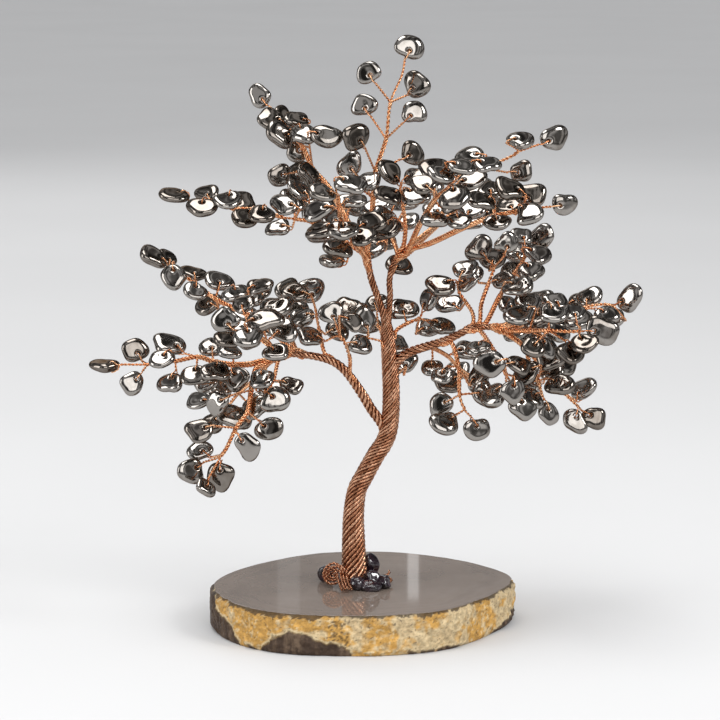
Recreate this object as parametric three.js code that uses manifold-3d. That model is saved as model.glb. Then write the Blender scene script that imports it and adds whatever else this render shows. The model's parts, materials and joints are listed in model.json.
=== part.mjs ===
// A wire tree: chips of polished hematite on twisted copper wire, standing on a slice of agate.
// Millimetres, +Z up. The origin is the middle of the slice's underside.
//
// Every chip hangs on its own pair of wires. The pairs twist together into sprigs, the sprigs
// into boughs, and the boughs into the trunk, which is glued to the slice among small stones.
// Four boughs can be bent by hand where they leave the trunk.

import * as THREE from 'three';
import { mergeVertices } from 'three/addons/utils/BufferGeometryUtils.js';
import Module from 'manifold-3d';

const wasm = await Module();
wasm.setup();

// ---------------------------------------------------------------- driving dimensions

const GAP = 0.35; // kept between touching pieces
const SLICE_THICKNESS = 16;
const SLICE_BEVEL = 1.6;
const SLICE_SEGMENTS = 36;

const CHIP = [5.7, 4.6, 2.2]; // half length, half width and half thickness of a usual chip
const CHIP_VARIETY = 0.1; // chips are up to this much larger or smaller
const TURN = 26; // degrees a chip may be turned about the vertical, for variety
const STEM_RADIUS = 0.85;
const TWIG_RADIUS = 0.55;
const STEM_SIDES = 4;
const TWIG_SIDES = 3;
const ROPE_SIDES = 8;

// the crown's layers slope down and widen a little towards the back
const LAYER_SLOPE = 0.15;
const BACK_SPREAD = 0.0008;

// boughs that bend at the trunk, each about the vertical through its pivot
const BOUGHS = {
  left_bough: { pivot: [4.0, 0, 84.6], bend: 8 },
  right_bough: { pivot: [16.2, -1.5, 109.2], bend: 8 },
  crown_left: { pivot: [6.3, 0, 130.6], bend: 5 },
  crown_right: { pivot: [11.2, -0.5, 131.4], bend: 5 },
};

// ---------------------------------------------------------------- places

const place = ([x, y, z]) =>
  new THREE.Vector3(x * (1 + BACK_SPREAD * y), y, z - LAYER_SLOPE * y);

// ropes: points up the middle, radius at the foot and at the end
const ROPES = {
  trunk: {
    body: 'root',
    points: [
      [-3.4, -4, 15.75], [-3.8, -3.6, 25], [-4, -3, 35.2], [-3.1, -2, 52], [1.5, -1, 61.7],
      [5.4, -0.5, 68.8], [9.2, 0, 75], [11, 0, 86], [10.8, 0, 100.5], [10, 0, 112], [8.6, 0, 127.4],
    ],
    radii: [5.5, 5, 4.6, 3.9, 3.8, 3.7, 3.65, 3.55, 3.45, 3.1, 2.7],
    steps: 16,
  },
  left_bough: {
    body: 'left_bough',
    points: [
      [4.0, 0, 84.6], [0, -2, 92], [-4, -3, 98], [-8, -4, 103], [-12, -5, 106], [-17, -6, 107.5],
      [-27, -7, 109.3], [-34, -8, 107.6], [-43, -10, 104.6],
    ],
    radii: [2.1, 2.0, 1.9, 1.8, 1.7, 1.6, 1.4, 1.2, 1.0],
    steps: 9,
  },
  right_bough: {
    body: 'right_bough',
    points: [
      [16.2, -1.5, 109.2], [25, -4, 112], [33, -6, 114.5], [40, -7, 118], [45, -8, 120],
      [57, -8, 119],
    ],
    radii: [1.9, 1.8, 1.7, 1.5, 1.4, 1.1],
    steps: 9,
  },
  crown_left: {
    body: 'crown_left',
    points: [[6.3, 0, 130.6], [3.2, -1, 138.7], [1.3, -2, 148.5]],
    radii: [1.45, 1.45, 1.3],
    steps: 5,
  },
  crown_right: {
    body: 'crown_right',
    points: [[11.2, -0.5, 131.4], [10.2, -1, 137.5], [12, -1.5, 145.6], [17.3, -2, 151]],
    radii: [1.25, 1.25, 1.2, 1.1],
    steps: 6,
  },
};

// sprigs: the bough or sprig each grows from, the stem's points, then its chips as
// [stem point the twig leaves from, x, y, z, lean back, spin in the frontal plane, size]
const SPRIGS = {
  leader: {
    on: 'crown_left',
    stem: [
      [1.6, -1, 152], [3, -1, 161], [4, -1, 171], [4.5, -1, 181.5], [8.8, -2, 194.5],
      [10.7, -1, 209], [15, 0, 220], [16.5, 0, 226],
    ],
    chips: [
      [7, 18.3, 0, 231.5, 14, -22], [5, 2, -5, 221, 8, 18], [5, 21.3, 5, 217, 10, -28],
      [4, 0, 4, 209, 12, 28], [4, 20, -5, 205.3, 16, -8], [3, -3, -6, 195, 10, 10],
      [3, 19.3, 5, 190, 10, -28, 1.08], [2, -5.3, 7, 185, 8, 55], [2, 1.8, -9, 178, 50, 10],
    ],
  },
  upper_left: {
    on: 'crown_left',
    stem: [
      [-1.2, 2, 150], [-8, 8, 166], [-14, 11, 177], [-20, 14, 184], [-24, 15, 193],
      [-30, 17, 199], [-36, 18, 208],
    ],
    chips: [
      [6, -41, 19, 214, 14, -38], [5, -36.5, 13, 203.4, 40, -30], [5, -31.5, 23, 205.5, 30, -45],
      [5, -26.2, 7, 203.4, 46, -12], [4, -33, 9, 197, 30, -40], [4, -26.5, 22, 191.5, 20, -55],
      [4, -24, 7, 196.8, 52, -8], [3, -14.8, 6, 195.4, 28, -12, 1.1], [3, -33.5, 5, 181, 6, 30],
      [2, -21.5, 3, 180.5, 34, -48], [2, -26, 24, 183, 20, 60],
    ],
  },
  middle_left_outer: {
    on: 'middle_left_inner',
    stem: [[-38.5, -17, 164.5], [-44, -18, 166.4], [-52, -20, 166.5], [-60, -22, 168], [-69, -24, 169.3]],
    chips: [
      [4, -75.5, -25, 171.3, 74, -16], [3, -62, -17, 172.8, 42, 4], [3, -64.4, -28, 166.3, 52, -6],
      [2, -48.5, -13, 169.5, 40, 6], [1, -47, -26, 162.8, 40, 4, 1.1], [2, -54, -30, 169, 58, 8, 0.92],
    ],
  },
  middle_left_inner: {
    on: 'crown_left',
    stem: [[-0.5, -5, 149], [-12, -8, 157], [-20, -12, 161], [-27, -14, 162.5], [-37, -17, 164]],
    chips: [
      [4, -40.6, -27, 163.6, 60, -6], [3, -31.6, -22, 168, 50, -14], [3, -34, -8, 159.6, 48, 8],
      [3, -28, -6, 170.4, 48, -16], [2, -25.5, -17, 174, 36, -30], [2, -20, -3, 167, 30, 24],
    ],
  },
  crown_front: {
    on: 'crown_left',
    stem: [[0.6, -5.5, 147.6], [-4, -18, 154], [-8, -32, 160], [-10, -42, 165]],
    chips: [
      [3, -17, -48, 171.5, 48, -16], [3, -18, -43, 165, 42, 12, 1.1], [2, -17, -32, 157.5, 60, 6],
      [2, -8, -42, 157.2, 46, 0, 1.15], [1, -10, -24, 150.7, 54, -8], [1, -13, -14, 146.2, 76, 4],
      [2, 0.5, -36, 155, 50, 14], [3, -5, -52, 174.3, 60, -12], [3, -3, -44, 168.4, 66, 8],
      [1, 3, -26, 160.5, 30, 20],
    ],
  },
  crown_back: {
    on: 'crown_left',
    stem: [[0.8, 3, 148], [-2, 18, 156], [-6, 34, 163], [-10, 48, 168]],
    chips: [
      [3, -16, 56, 173, 36, -20], [3, -19, 46, 166.4, 50, 14], [2, -17.5, 36, 158.6, 58, 0],
      [2, -6, 42, 172, 44, 6],
      [3, -8, 60, 160, 52, 8], [3, -4, 58, 171.4, 40, -10], [1, -12, 20, 164, 34, 40],
    ],
  },
  crown_heart: {
    on: 'crown_right',
    stem: [[16, -2.5, 152.6], [17, -6, 160], [15.6, -8, 168], [14.6, -9, 174]],
    chips: [
      [3, 10.5, -10, 181.5, 30, -42], [2, 10, -18, 171.5, 46, -12], [1, 8.6, -14, 163.5, 36, -40],
      [1, 9.6, -24, 158, 56, 8], [3, 20.5, -14, 179.5, 44, 14], [2, 20.6, -15, 171.4, 52, 6],
    ],
  },
  crown_hollow: {
    on: 'crown_right',
    stem: [[13.6, 2, 148.4], [13, 12, 152], [11, 24, 158], [10, 34, 163]],
    chips: [
      [0, 14, 13, 145, 50, 0], [3, 12.5, 45, 172, 44, -14], [2, 4.6, 27, 169, 34, 30],
      [2, 4, 22, 151.4, 52, 10], [3, 18, 42, 164, 50, 4], [3, 8, 46, 156, 56, -10],
      [2, 18, 32, 172, 42, 22],
    ],
  },
  far_right: {
    on: 'crown_right',
    stem: [
      [18.6, 3, 154], [27, 14, 160], [34, 24, 170], [41, 32, 180], [47, 36, 185.4],
      [54, 38, 188.4], [61, 40, 192.4], [69, 42, 195.4],
    ],
    chips: [
      [7, 75.5, 43, 198.5, 8, 12, 1.08], [6, 62.5, 34, 196.6, 56, 8], [4, 62.5, 44, 184.6, 12, 18],
      [4, 42, 28, 190, 36, 4], [3, 33, 38, 183, 42, -14], [2, 44, 12, 174, 46, 10],
      [2, 26, 30, 178, 40, 22],
    ],
  },
  right_reach: {
    on: 'crown_right',
    stem: [
      [20.5, -3.5, 151.6], [27, -10, 153.5], [40, -20, 159], [52, -25, 163.4], [62, -27, 165.6],
      [73, -29, 166.8],
    ],
    chips: [
      [5, 79.7, -30, 167.5, 8, -14, 1.05], [4, 66.5, -22, 171.6, 22, 8], [4, 57.5, -19, 167.6, 52, -6],
      [3, 53, -33, 160.6, 56, -4], [4, 57.6, -34, 173.6, 46, -22], [3, 50, -10, 174.4, 50, 10],
      [3, 46.5, -34, 168.6, 52, -12], [2, 43, -12, 166.4, 50, 16], [2, 38, -30, 160.6, 54, 6],
      [4, 66, -38, 163.6, 44, 10],
    ],
  },
  disc_front: {
    on: 'crown_right',
    stem: [[17.5, -6, 149.6], [22, -18, 160], [28, -32, 169], [34, -46, 174]],
    chips: [
      [2, 23.5, -36, 175, 40, 16], [3, 31, -54, 177.8, 48, -8], [2, 28, -21, 182.4, 56, 10],
      [3, 39, -56, 180.6, 52, -14], [3, 43, -46, 176.2, 50, 6], [2, 35.4, -30, 168.6, 44, 30],
      [1, 28, -24, 161.8, 58, -4], [3, 36, -60, 168.8, 44, 18],
      [3, 49, -54, 182, 58, 8],
    ],
  },
  disc_back: {
    on: 'crown_right',
    stem: [[19.6, 1, 149], [26, 18, 158], [34, 36, 166], [42, 52, 173]],
    chips: [
      [3, 47, 60, 179.6, 52, -10], [3, 53, 54, 175.6, 50, 8], [2, 43, 40, 163.4, 56, -6],
      [3, 37, 62, 174, 46, 20], [2, 28, 46, 169, 50, 10], [3, 50, 64, 167.4, 44, -20],
    ],
  },

  left_tip: {
    on: 'left_bough',
    stem: [
      [-29, -4, 112], [-36, 3, 118], [-44, 10, 123.4], [-52, 15, 127.6], [-59, 19, 131.4],
      [-67, 23, 138], [-75, 26, 143.6],
    ],
    chips: [
      [6, -83.6, 28, 149, 50, -28], [6, -78, 34, 148.6, 58, -40, 0.9], [6, -75.4, 18, 140.4, 30, -34],
      [5, -68, 32, 142.4, 74, -14], [5, -67, 16, 134.6, 46, -12], [4, -57.5, 26, 139, 50, -10],
      [3, -50.6, 6, 133.6, 64, 12, 1.1], [3, -45, 22, 131.4, 60, 4], [4, -62, 30, 129.6, 44, 16],
      [2, -40.6, 2, 136.4, 52, 10],
    ],
  },
  left_far: {
    on: 'left_bough',
    stem: [
      [-45.6, -10.4, 105], [-52, -12, 104.8], [-60, -14, 106], [-66, -15, 108], [-75, -15, 106.5],
      [-86, -15, 105], [-97, -15, 104.8],
    ],
    chips: [
      [6, -104, -15, 104.6, 78, 0], [5, -91.5, -9, 110.6, 16, 16], [5, -92.5, -21, 97.4, 22, 34],
      [3, -78, -8, 113.2, 52, 0, 1.06], [4, -80.6, -24, 107, 50, -6], [4, -77.4, -20, 97.4, 42, 10],
      [3, -67.4, -24, 100.6, 46, -10], [2, -63, -5, 97.6, 40, 18], [2, -59.4, -25, 102, 52, 0],
      [2, -60.6, -6, 111.6, 48, 12], [1, -54, -26, 110, 62, -6], [1, -50.6, -20, 99, 24, 30],
    ],
  },
  left_droop: {
    on: 'left_bough',
    stem: [
      [-43, -12.6, 102.6], [-44.4, -20, 95], [-46.6, -27, 86.6], [-51, -31, 80], [-56.6, -34, 70],
    ],
    chips: [
      [1, -58.6, -23, 89.6, 10, 70, 1.1], [3, -65.6, -38, 79, 34, 14], [4, -69.6, -33, 62.6, 12, -6],
      [4, -63.6, -43, 56.6, 36, -30, 0.85], [4, -57.6, -36, 60.4, 8, 60], [3, -46.4, -39, 72.4, 12, -50],
      [2, -37.6, -33, 79.6, 10, 14, 1.06], [2, -53, -19, 84, 30, -20], [4, -66, -24, 70.6, 40, 20],
    ],
  },
  left_near_droop: {
    on: 'left_bough',
    stem: [[-33.6, -12.4, 105.4], [-36, -18, 99], [-39, -23, 92.6]],
    chips: [
      [2, -35.6, -29, 90.8, 24, 42], [2, -43, -20, 88, 40, 20], [1, -29, -20, 96.4, 44, -12, 0.9],
      [1, -41, -28, 99, 50, 6, 0.92],
    ],
  },
  left_back_droop: {
    on: 'left_bough',
    stem: [[-38, -5, 104], [-44, 6, 99], [-50, 18, 93], [-56, 28, 86]],
    chips: [
      [3, -60.6, 32, 80, 16, 30], [3, -50, 34, 82, 24, -20], [2, -58, 16, 95.6, 40, 10],
      [2, -44, 24, 88, 30, 34], [1, -36, 12, 94, 44, -8], [3, -66, 30, 90, 40, 12],
    ],
  },
  left_front: {
    on: 'left_bough',
    stem: [[-34.6, -11.4, 109.6], [-39, -22, 113.6], [-43, -34, 115.6], [-48, -44, 117]],
    chips: [
      [3, -55.4, -47, 122.6, 8, 34, 1.08], [2, -39.4, -42, 122.6, 52, 10, 1.12], [3, -55, -52, 114.6, 54, -8],
      [3, -46.4, -54, 115.6, 48, 10], [1, -35, -30, 127.4, 50, 0, 1.14], [2, -48, -30, 128.6, 46, 14],
      [1, -32, -24, 118.6, 40, -26], [2, -35, -40, 109.6, 48, 0],
    ],
  },
  left_back: {
    on: 'left_bough',
    stem: [[-26, -3, 108.4], [-30, 12, 116], [-34, 28, 120.6], [-38, 44, 123.6]],
    chips: [
      [2, -30, 34, 136, 40, 10], [3, -41.6, 50, 136.4, 48, 10], [1, -24.4, 18, 124, 50, -6],
      [3, -48, 50, 126, 46, -12], [3, -36, 58, 120, 50, 8], [2, -50, 34, 120, 50, 0],
      [2, -27, 38, 126.4, 40, 26], [3, -46, 58, 114.6, 46, 12],
    ],
  },
  left_inner: {
    on: 'left_bough',
    stem: [[-15.6, -3.5, 110.4], [-17.8, 0, 119], [-19, 3, 127]],
    chips: [
      [2, -21.4, 6, 135, 30, 20, 1.06], [2, -27.6, 2, 134, 52, -6], [1, -24.6, -9, 123.6, 48, 14],
      [1, -10.6, 8, 119, 40, -30, 0.9],
    ],
  },
  left_near: {
    on: 'left_bough',
    stem: [[-5.4, -6.6, 101.6], [-6, -12, 108], [-9.4, -16, 116]],
    chips: [
      [2, -12.6, -18, 125.6, 26, 34], [2, -21.4, -21, 116, 46, -12], [1, -1.4, -17, 112.6, 40, -6, 0.86],
      [2, -4, -26, 121.6, 34, -24, 0.94],
    ],
  },

  right_tip: {
    on: 'right_bough',
    stem: [
      [59.8, -8, 119.6], [66, -8, 121.6], [73, -7, 124], [80, -6, 124.8], [86, -5, 127.4],
      [98, -3, 128.8],
    ],
    chips: [
      [5, 106.2, -1, 131.3, 10, 62, 1.02], [4, 90, 5, 131.8, 36, 14], [4, 97, -13, 124.6, 40, -8],
      [3, 86, -15, 122.6, 52, 8], [3, 76.6, 2, 130.4, 50, 4], [1, 65.6, 2, 130, 52, -4],
      [2, 70, -16, 122.6, 46, 10], [5, 100, 9, 123.4, 40, 24],
    ],
  },
  right_front: {
    on: 'right_bough',
    stem: [[58.4, -11.4, 118], [66, -22, 118.6], [74, -32, 118.4], [86, -40, 118]],
    chips: [
      [3, 95.4, -43, 118, 8, -20, 1.08], [2, 83, -46, 109.6, 46, -6, 1.14], [1, 72.4, -25, 111.6, 36, -34],
      [1, 62, -30, 124.6, 56, 4], [2, 67.6, -42, 111.6, 40, -38], [3, 88, -52, 113, 48, 12],
      [2, 76, -44, 124.6, 52, -6], [3, 84, -32, 125, 54, 8],
    ],
  },
  right_back: {
    on: 'right_bough',
    stem: [[56, -4, 121.6], [62, 8, 123], [68, 22, 124.4], [74, 36, 125]],
    chips: [
      [3, 80, 42, 122.6, 44, -12], [2, 60, 28, 118, 50, 6], [1, 69.6, 10, 127.6, 44, 24],
      [3, 70, 46, 131.4, 50, 8], [3, 86, 34, 131, 44, 14], [2, 77, 20, 118, 46, -20],
      [3, 66, 46, 117.6, 46, 10], [1, 58, 20, 129, 48, -10],
    ],
  },
  right_droop: {
    on: 'right_bough',
    stem: [[58, -11.4, 114.6], [63.6, -15, 112], [66, -17, 106], [69.6, -18, 98.6], [72, -18, 93]],
    chips: [
      [1, 74.6, -23, 107.4, 30, -12], [2, 75.4, -12, 102, 44, 6], [3, 78.6, -24, 97, 36, -10],
      [3, 65, -28, 101, 40, 30, 0.94], [4, 74, -20, 85, 16, -62], [4, 66, -24, 91.6, 40, -6],
    ],
  },
  right_far_droop: {
    on: 'right_bough',
    stem: [[57.6, -4.6, 116], [64, 2, 112], [73, 9, 101.6], [80, 13, 93], [86, 15, 87.6]],
    chips: [
      [4, 92.4, 17, 82.4, 20, -20, 1.04], [4, 84.6, 8, 81.6, 24, -50], [3, 88, 22, 94.6, 40, 20],
      [2, 66.6, 16, 97, 34, -10], [2, 80, 18, 104.4, 44, -12], [1, 72, 18, 111, 44, 20],
    ],
  },
  right_mid: {
    on: 'right_bough',
    stem: [[43.6, -4, 122.4], [43.6, -1, 125.4], [41, 2, 130], [38, 4, 134]],
    chips: [
      [3, 40.6, 5, 143.4, 44, 10], [3, 30.6, -3, 136.6, 46, -12], [3, 41.4, -8, 137.6, 40, 24, 0.9],
      [2, 34, 14, 129.6, 48, 8],
    ],
  },
  right_mid_tall: {
    on: 'right_bough',
    stem: [[46.4, -5.4, 123], [47, -1, 129], [49, 4, 137], [52, 9, 144]],
    chips: [
      [3, 46, 6, 151.6, 8, 24], [3, 57, 4, 153.6, 10, 40], [3, 51, 22, 148, 40, -6],
      [2, 55.6, -2, 139, 30, 30, 0.85], [2, 43, 25, 141, 44, 12],
    ],
  },
  right_mid_reach: {
    on: 'right_bough',
    stem: [[49, -4.6, 123], [54, 2, 132], [60, 8, 141.6], [64, 12, 148]],
    chips: [
      [3, 70.6, 16, 156.6, 12, 30], [3, 63, 8, 157, 40, -8, 0.94], [3, 69.4, 6, 149.4, 46, 6],
      [2, 66.6, 4, 142.4, 50, 8], [2, 59, 25, 143.4, 26, 44], [1, 62, -2, 136, 48, 0],
      [3, 60, 22, 150.6, 44, -14],
    ],
  },
  right_low: {
    on: 'right_bough',
    stem: [[35.6, -9.4, 112.6], [38, -14, 104], [38.4, -17, 93], [40.6, -18, 87]],
    chips: [
      [2, 31, -13, 88.6, 16, 62], [3, 32.6, -24, 81.2, 34, 10], [3, 45.6, -22, 79, 12, 14, 1.1],
      [2, 48.4, -12, 93, 28, -36], [1, 46.4, -10, 101, 24, 50], [1, 31.6, -22, 100.6, 44, 10, 0.9],
    ],
  },
  right_near: {
    on: 'right_bough',
    stem: [[46.6, -11.6, 117.6], [51, -20, 112.6], [55, -27, 106.4], [57, -31, 101.4]],
    chips: [
      [2, 50.6, -38, 105, 12, 20, 1.04], [3, 62.6, -36, 104.6, 40, -10], [3, 59.6, -36, 94.4, 8, 20],
      [3, 64, -30, 87.6, 20, -40], [1, 45.4, -28, 111.4, 62, 4], [3, 52, -26, 92.6, 36, 24],
    ],
  },
  right_under: {
    on: 'right_bough',
    stem: [[27.6, 0, 111.4], [33, 10, 108], [38, 20, 104], [42, 30, 100]],
    chips: [
      [0, 27.4, -4, 103.6, 52, 0, 0.9], [3, 47, 36, 95.6, 30, -30], [2, 34, 28, 97.4, 44, 12],
      [3, 50, 30, 106.6, 44, 8], [1, 42, 12, 110.6, 52, -6], [3, 38, 42, 102, 44, 14],
    ],
  },

  trunk_right: {
    on: 'trunk',
    stem: [[13.4, 2, 118.6], [18, 5, 121.4], [22, 8, 123.4]],
    chips: [
      [2, 26, 8, 131.2, 26, 46], [1, 15.4, 15, 127.4, 44, 6], [2, 31.6, 10, 120.4, 46, -10],
      [2, 26, 20, 120, 48, 8],
    ],
  },
  trunk_left: {
    on: 'trunk',
    stem: [[5.8, -4, 114], [1, -6, 115.4]],
    chips: [[1, 0, -8, 123.4, 24, -40]],
  },
  trunk_back: {
    on: 'trunk',
    stem: [[10, 4, 116], [6, 14, 120], [0, 24, 124]],
    chips: [
      [1, 5, 22, 130, 40, 10], [2, -6.4, 28, 128, 44, -14], [2, 2, 34, 121, 46, 10],
      [1, 13, 20, 112.4, 40, 14],
    ],
  },
  trunk_shoulder: {
    on: 'trunk',
    stem: [[14, 3, 101], [17, 8, 103.6]],
    chips: [[1, 16.6, 12, 105.4, 30, 30, 0.9]],
  },
};

// small stones glued round the foot: place and half sizes
const FOOT_STONES = {
  foot_stone_upright: [[3.6, -2.6, 22.6], [2.1, 2, 3.4]],
  foot_stone_front: [[-1.8, -13.6, 18.2], [2.6, 2.2, 1.8]],
  foot_stone_middle: [[3.3, -10.2, 18.9], [2.4, 2.2, 2.2]],
  foot_stone_low: [[3.4, -16.4, 17.9], [2.6, 2.2, 1.5]],
  foot_stone_right: [[8, -11.6, 18.4], [2.2, 2.2, 2]],
  foot_stone_left: [[-17.4, 0.6, 18.8], [2, 2.6, 2.4]],
  foot_stone_behind: [[-5, 5.2, 18.8], [2.8, 2, 2.4]],
};

// ---------------------------------------------------------------- materials

const finish = (color, roughness, metalness) =>
  new THREE.MeshStandardMaterial({ color, roughness, metalness });

const MATERIALS = {
  agate: finish(0x7d7167, 0.15, 0),
  copper: finish(0xb0694a, 0.3, 0.95),
  hematite: finish(0x3c3a3c, 0.12, 0.85),
  garnet: finish(0x2c1720, 0.12, 0.1),
};

// ---------------------------------------------------------------- ropes

// a direction that no wire runs along, from which each ring's turn is measured
const DEPTH_AXIS = new THREE.Vector3(0.12, 1, 0.07).normalize();

// a tapered rope with flat ends: a cylinder whose rings sit on the given points
function rope(points, radii, sides) {
  const steps = points.length - 1;
  const tangents = points.map((point, i) => {
    const before = points[Math.max(i - 1, 0)];
    const after = points[Math.min(i + 1, steps)];
    return after.clone().sub(before).normalize();
  });
  const normals = tangents.map((tangent) => DEPTH_AXIS.clone().projectOnPlane(tangent).normalize());
  const geometry = new THREE.CylinderGeometry(1, 1, 1, sides, steps);
  const position = geometry.attributes.position;
  const vertex = new THREE.Vector3();
  for (let i = 0; i < position.count; i += 1) {
    vertex.fromBufferAttribute(position, i);
    const step = Math.round((vertex.y + 0.5) * steps);
    const across = tangents[step].clone().cross(normals[step]);
    const corner = points[step].clone()
      .addScaledVector(across, vertex.x * radii[step])
      .addScaledVector(normals[step], vertex.z * radii[step]);
    position.setXYZ(i, corner.x, corner.y, corner.z);
  }
  return geometry;
}

// points along a smooth curve through the given ones, with radii shared out between them
function smoothed(points, radii, steps) {
  const curve = new THREE.CatmullRomCurve3(points, false, 'centripetal');
  const shares = Array.from({ length: steps + 1 }, (_, i) => i / steps);
  return {
    points: shares.map((share) => curve.getPoint(share)),
    radii: shares.map((share) => {
      const along = share * (radii.length - 1);
      const before = Math.min(Math.floor(along), radii.length - 2);
      return THREE.MathUtils.lerp(radii[before], radii[before + 1], along - before);
    }),
  };
}

// nearest point to p on a polyline, and the radius there
function nearestOn(points, radii, p) {
  const best = { distance: Infinity, point: null, radius: 0 };
  for (let i = 0; i + 1 < points.length; i += 1) {
    const line = new THREE.Line3(points[i], points[i + 1]);
    const t = line.closestPointToPointParameter(p, true);
    const point = line.at(t, new THREE.Vector3());
    const distance = point.distanceTo(p);
    if (distance < best.distance) {
      Object.assign(best, { distance, point, radius: Math.max(radii[i], radii[i + 1]) });
    }
  }
  return best;
}

// ---------------------------------------------------------------- chips

// an icosahedron's corners scaled so that it fills the box of its half sizes
const GEM = mergeVertices(stripped(new THREE.IcosahedronGeometry(1, 0)));
GEM.computeBoundingBox();
const GEM_REACH = GEM.boundingBox.max.clone();
const GEM_CORNERS = cornersOf(GEM).map((corner) => corner.divide(GEM_REACH));
const GOLDEN_TURN = 137.508;

function stripped(geometry) {
  geometry.deleteAttribute('normal');
  geometry.deleteAttribute('uv');
  return geometry;
}

function cornersOf(geometry) {
  const position = geometry.attributes.position;
  return Array.from({ length: position.count }, (_, i) =>
    new THREE.Vector3().fromBufferAttribute(position, i));
}

let chipCount = 0;

function makeChip(row) {
  const [fork, x, y, z, lean, spin, size = 1] = row;
  chipCount += 1;
  const wave = Math.sin(THREE.MathUtils.degToRad(chipCount * GOLDEN_TURN));
  const half = CHIP.map((side) => side * size * (1 + CHIP_VARIETY * wave));
  const turned = new THREE.Euler(
    THREE.MathUtils.degToRad(-lean), THREE.MathUtils.degToRad(-spin),
    THREE.MathUtils.degToRad(TURN * Math.cos(chipCount)), 'ZYX');
  const matrix = new THREE.Matrix4().makeRotationFromEuler(turned);
  const axes = [0, 1, 2].map((i) => new THREE.Vector3().setFromMatrixColumn(matrix, i));
  // length along X, thickness along Y and width along Z before the turn
  const reach = new THREE.Vector3(half[0], half[2], half[1]);
  const corners = GEM_CORNERS.map((corner) => corner.clone().multiply(reach).applyMatrix4(matrix));
  return { fork, seat: [x, y, z], axes, corners, matrix, reach };
}

const chipPlace = (chip) => place(chip.seat);

// ---------------------------------------------------------------- growing the sprigs

const ropes = Object.fromEntries(Object.entries(ROPES).map(([name, spec]) => {
  const run = smoothed(spec.points.map(place), spec.radii, spec.steps);
  return [name, { name, body: spec.body, ...run }];
}));

const sprigs = {};
function growSprig(name) {
  if (sprigs[name]) return sprigs[name];
  const spec = SPRIGS[name];
  const parent = ropes[spec.on] ?? growSprig(spec.on);
  const points = spec.stem.map(place);
  const near = nearestOn(parent.points, parent.radii, points[0]);
  const outward = points[0].clone().sub(near.point).normalize();
  points[0] = near.point.addScaledVector(outward, near.radius + GAP + STEM_RADIUS);
  const radii = points.map(() => STEM_RADIUS);
  sprigs[name] = { name, body: parent.body, points, radii, chips: spec.chips.map(makeChip) };
  return sprigs[name];
}
Object.keys(SPRIGS).forEach(growSprig);
const allSprigs = Object.values(sprigs);

// ---------------------------------------------------------------- room between the chips

const UP = new THREE.Vector3(0, 0, 1);
const CHIP_ROOM = 0.5; // kept between two chips
const WIRE_ROOM = 0.5; // kept between a chip and a wire that isn't its own
const NUDGE = 0.35; // how far one step moves a chip, front to back
const NUDGE_STEPS = 160;
const NEAR = 15; // pairs further apart than this are left alone
const SWING_REACH = 12; // a bend moves a chip less than this
const TWIG_REACH = 16; // twigs are shorter than this, or nearly so
const PARALLEL = 1e-9;

function swung(point, body, share) {
  const bough = BOUGHS[body];
  if (!bough || share === 0) return point.clone();
  const pivot = place(bough.pivot);
  const angle = THREE.MathUtils.degToRad(bough.bend * share);
  return point.clone().sub(pivot).applyAxisAngle(UP, angle).add(pivot);
}

const BENDS = [-1, 0, 1];
function poseShares(one, other) {
  if (one === other) return [[0, 0]];
  const first = BOUGHS[one] ? BENDS : [0];
  const second = BOUGHS[other] ? BENDS : [0];
  return first.flatMap((a) => second.map((b) => [a, b]));
}

function reachAlong(corners, direction) {
  return Math.max(...corners.map((corner) => corner.dot(direction)));
}

// true when no plane square to one of the tested directions parts the two chips
function chipsTouch(a, b, between) {
  const tests = [between.clone().normalize(), ...a.axes, ...b.axes,
    a.axes[1].clone().cross(b.axes[1]).normalize()];
  return tests.every((test) => {
    const distance = between.dot(test);
    const facing = distance < 0 ? test.clone().negate() : test;
    return Math.abs(distance) - CHIP_ROOM
      < reachAlong(a.corners, facing) + reachAlong(b.corners, facing.clone().negate());
  });
}

function segmentsApart(p1, q1, p2, q2) {
  // smallest distance between two segments, by the usual clamped solution
  const d1 = q1.clone().sub(p1);
  const d2 = q2.clone().sub(p2);
  const r = p1.clone().sub(p2);
  const a = d1.dot(d1);
  const e = d2.dot(d2);
  const f = d2.dot(r);
  const c = d1.dot(r);
  const b = d1.dot(d2);
  const denominator = a * e - b * b;
  const start = denominator > PARALLEL ? (b * f - c * e) / denominator : 0;
  let s = THREE.MathUtils.clamp(start, 0, 1);
  const t = THREE.MathUtils.clamp((b * s + f) / e, 0, 1);
  s = THREE.MathUtils.clamp((b * t - c) / a, 0, 1);
  return p1.addScaledVector(d1, s).distanceTo(p2.addScaledVector(d2, t));
}

function wiresOf(item) {
  return item.points.slice(1).map((point, i) => ({
    owner: item, from: item.points[i], to: point, radius: Math.max(item.radii[i], item.radii[i + 1]),
  }));
}

const allChips = allSprigs.flatMap((sprig) => sprig.chips.map((chip) => Object.assign(chip, { sprig })));
const fixedWires = [...Object.values(ropes), ...allSprigs].flatMap(wiresOf);

function twigOf(chip) {
  return { from: chip.sprig.points[chip.fork].clone(), to: chipPlace(chip) };
}

function chipMeetsWire(chip, at, wire, shareOfChip, shareOfWire) {
  const from = swung(wire.from, wire.owner.body, shareOfWire);
  const to = swung(wire.to, wire.owner.body, shareOfWire);
  const centre = swung(at, chip.sprig.body, shareOfChip);
  const line = new THREE.Line3(from, to);
  const near = line.closestPointToPoint(centre, true, new THREE.Vector3());
  const apart = near.clone().sub(centre);
  const distance = apart.length();
  const direction = apart.normalize();
  return distance < reachAlong(chip.corners, direction) + wire.radius + WIRE_ROOM ? near : null;
}

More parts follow.
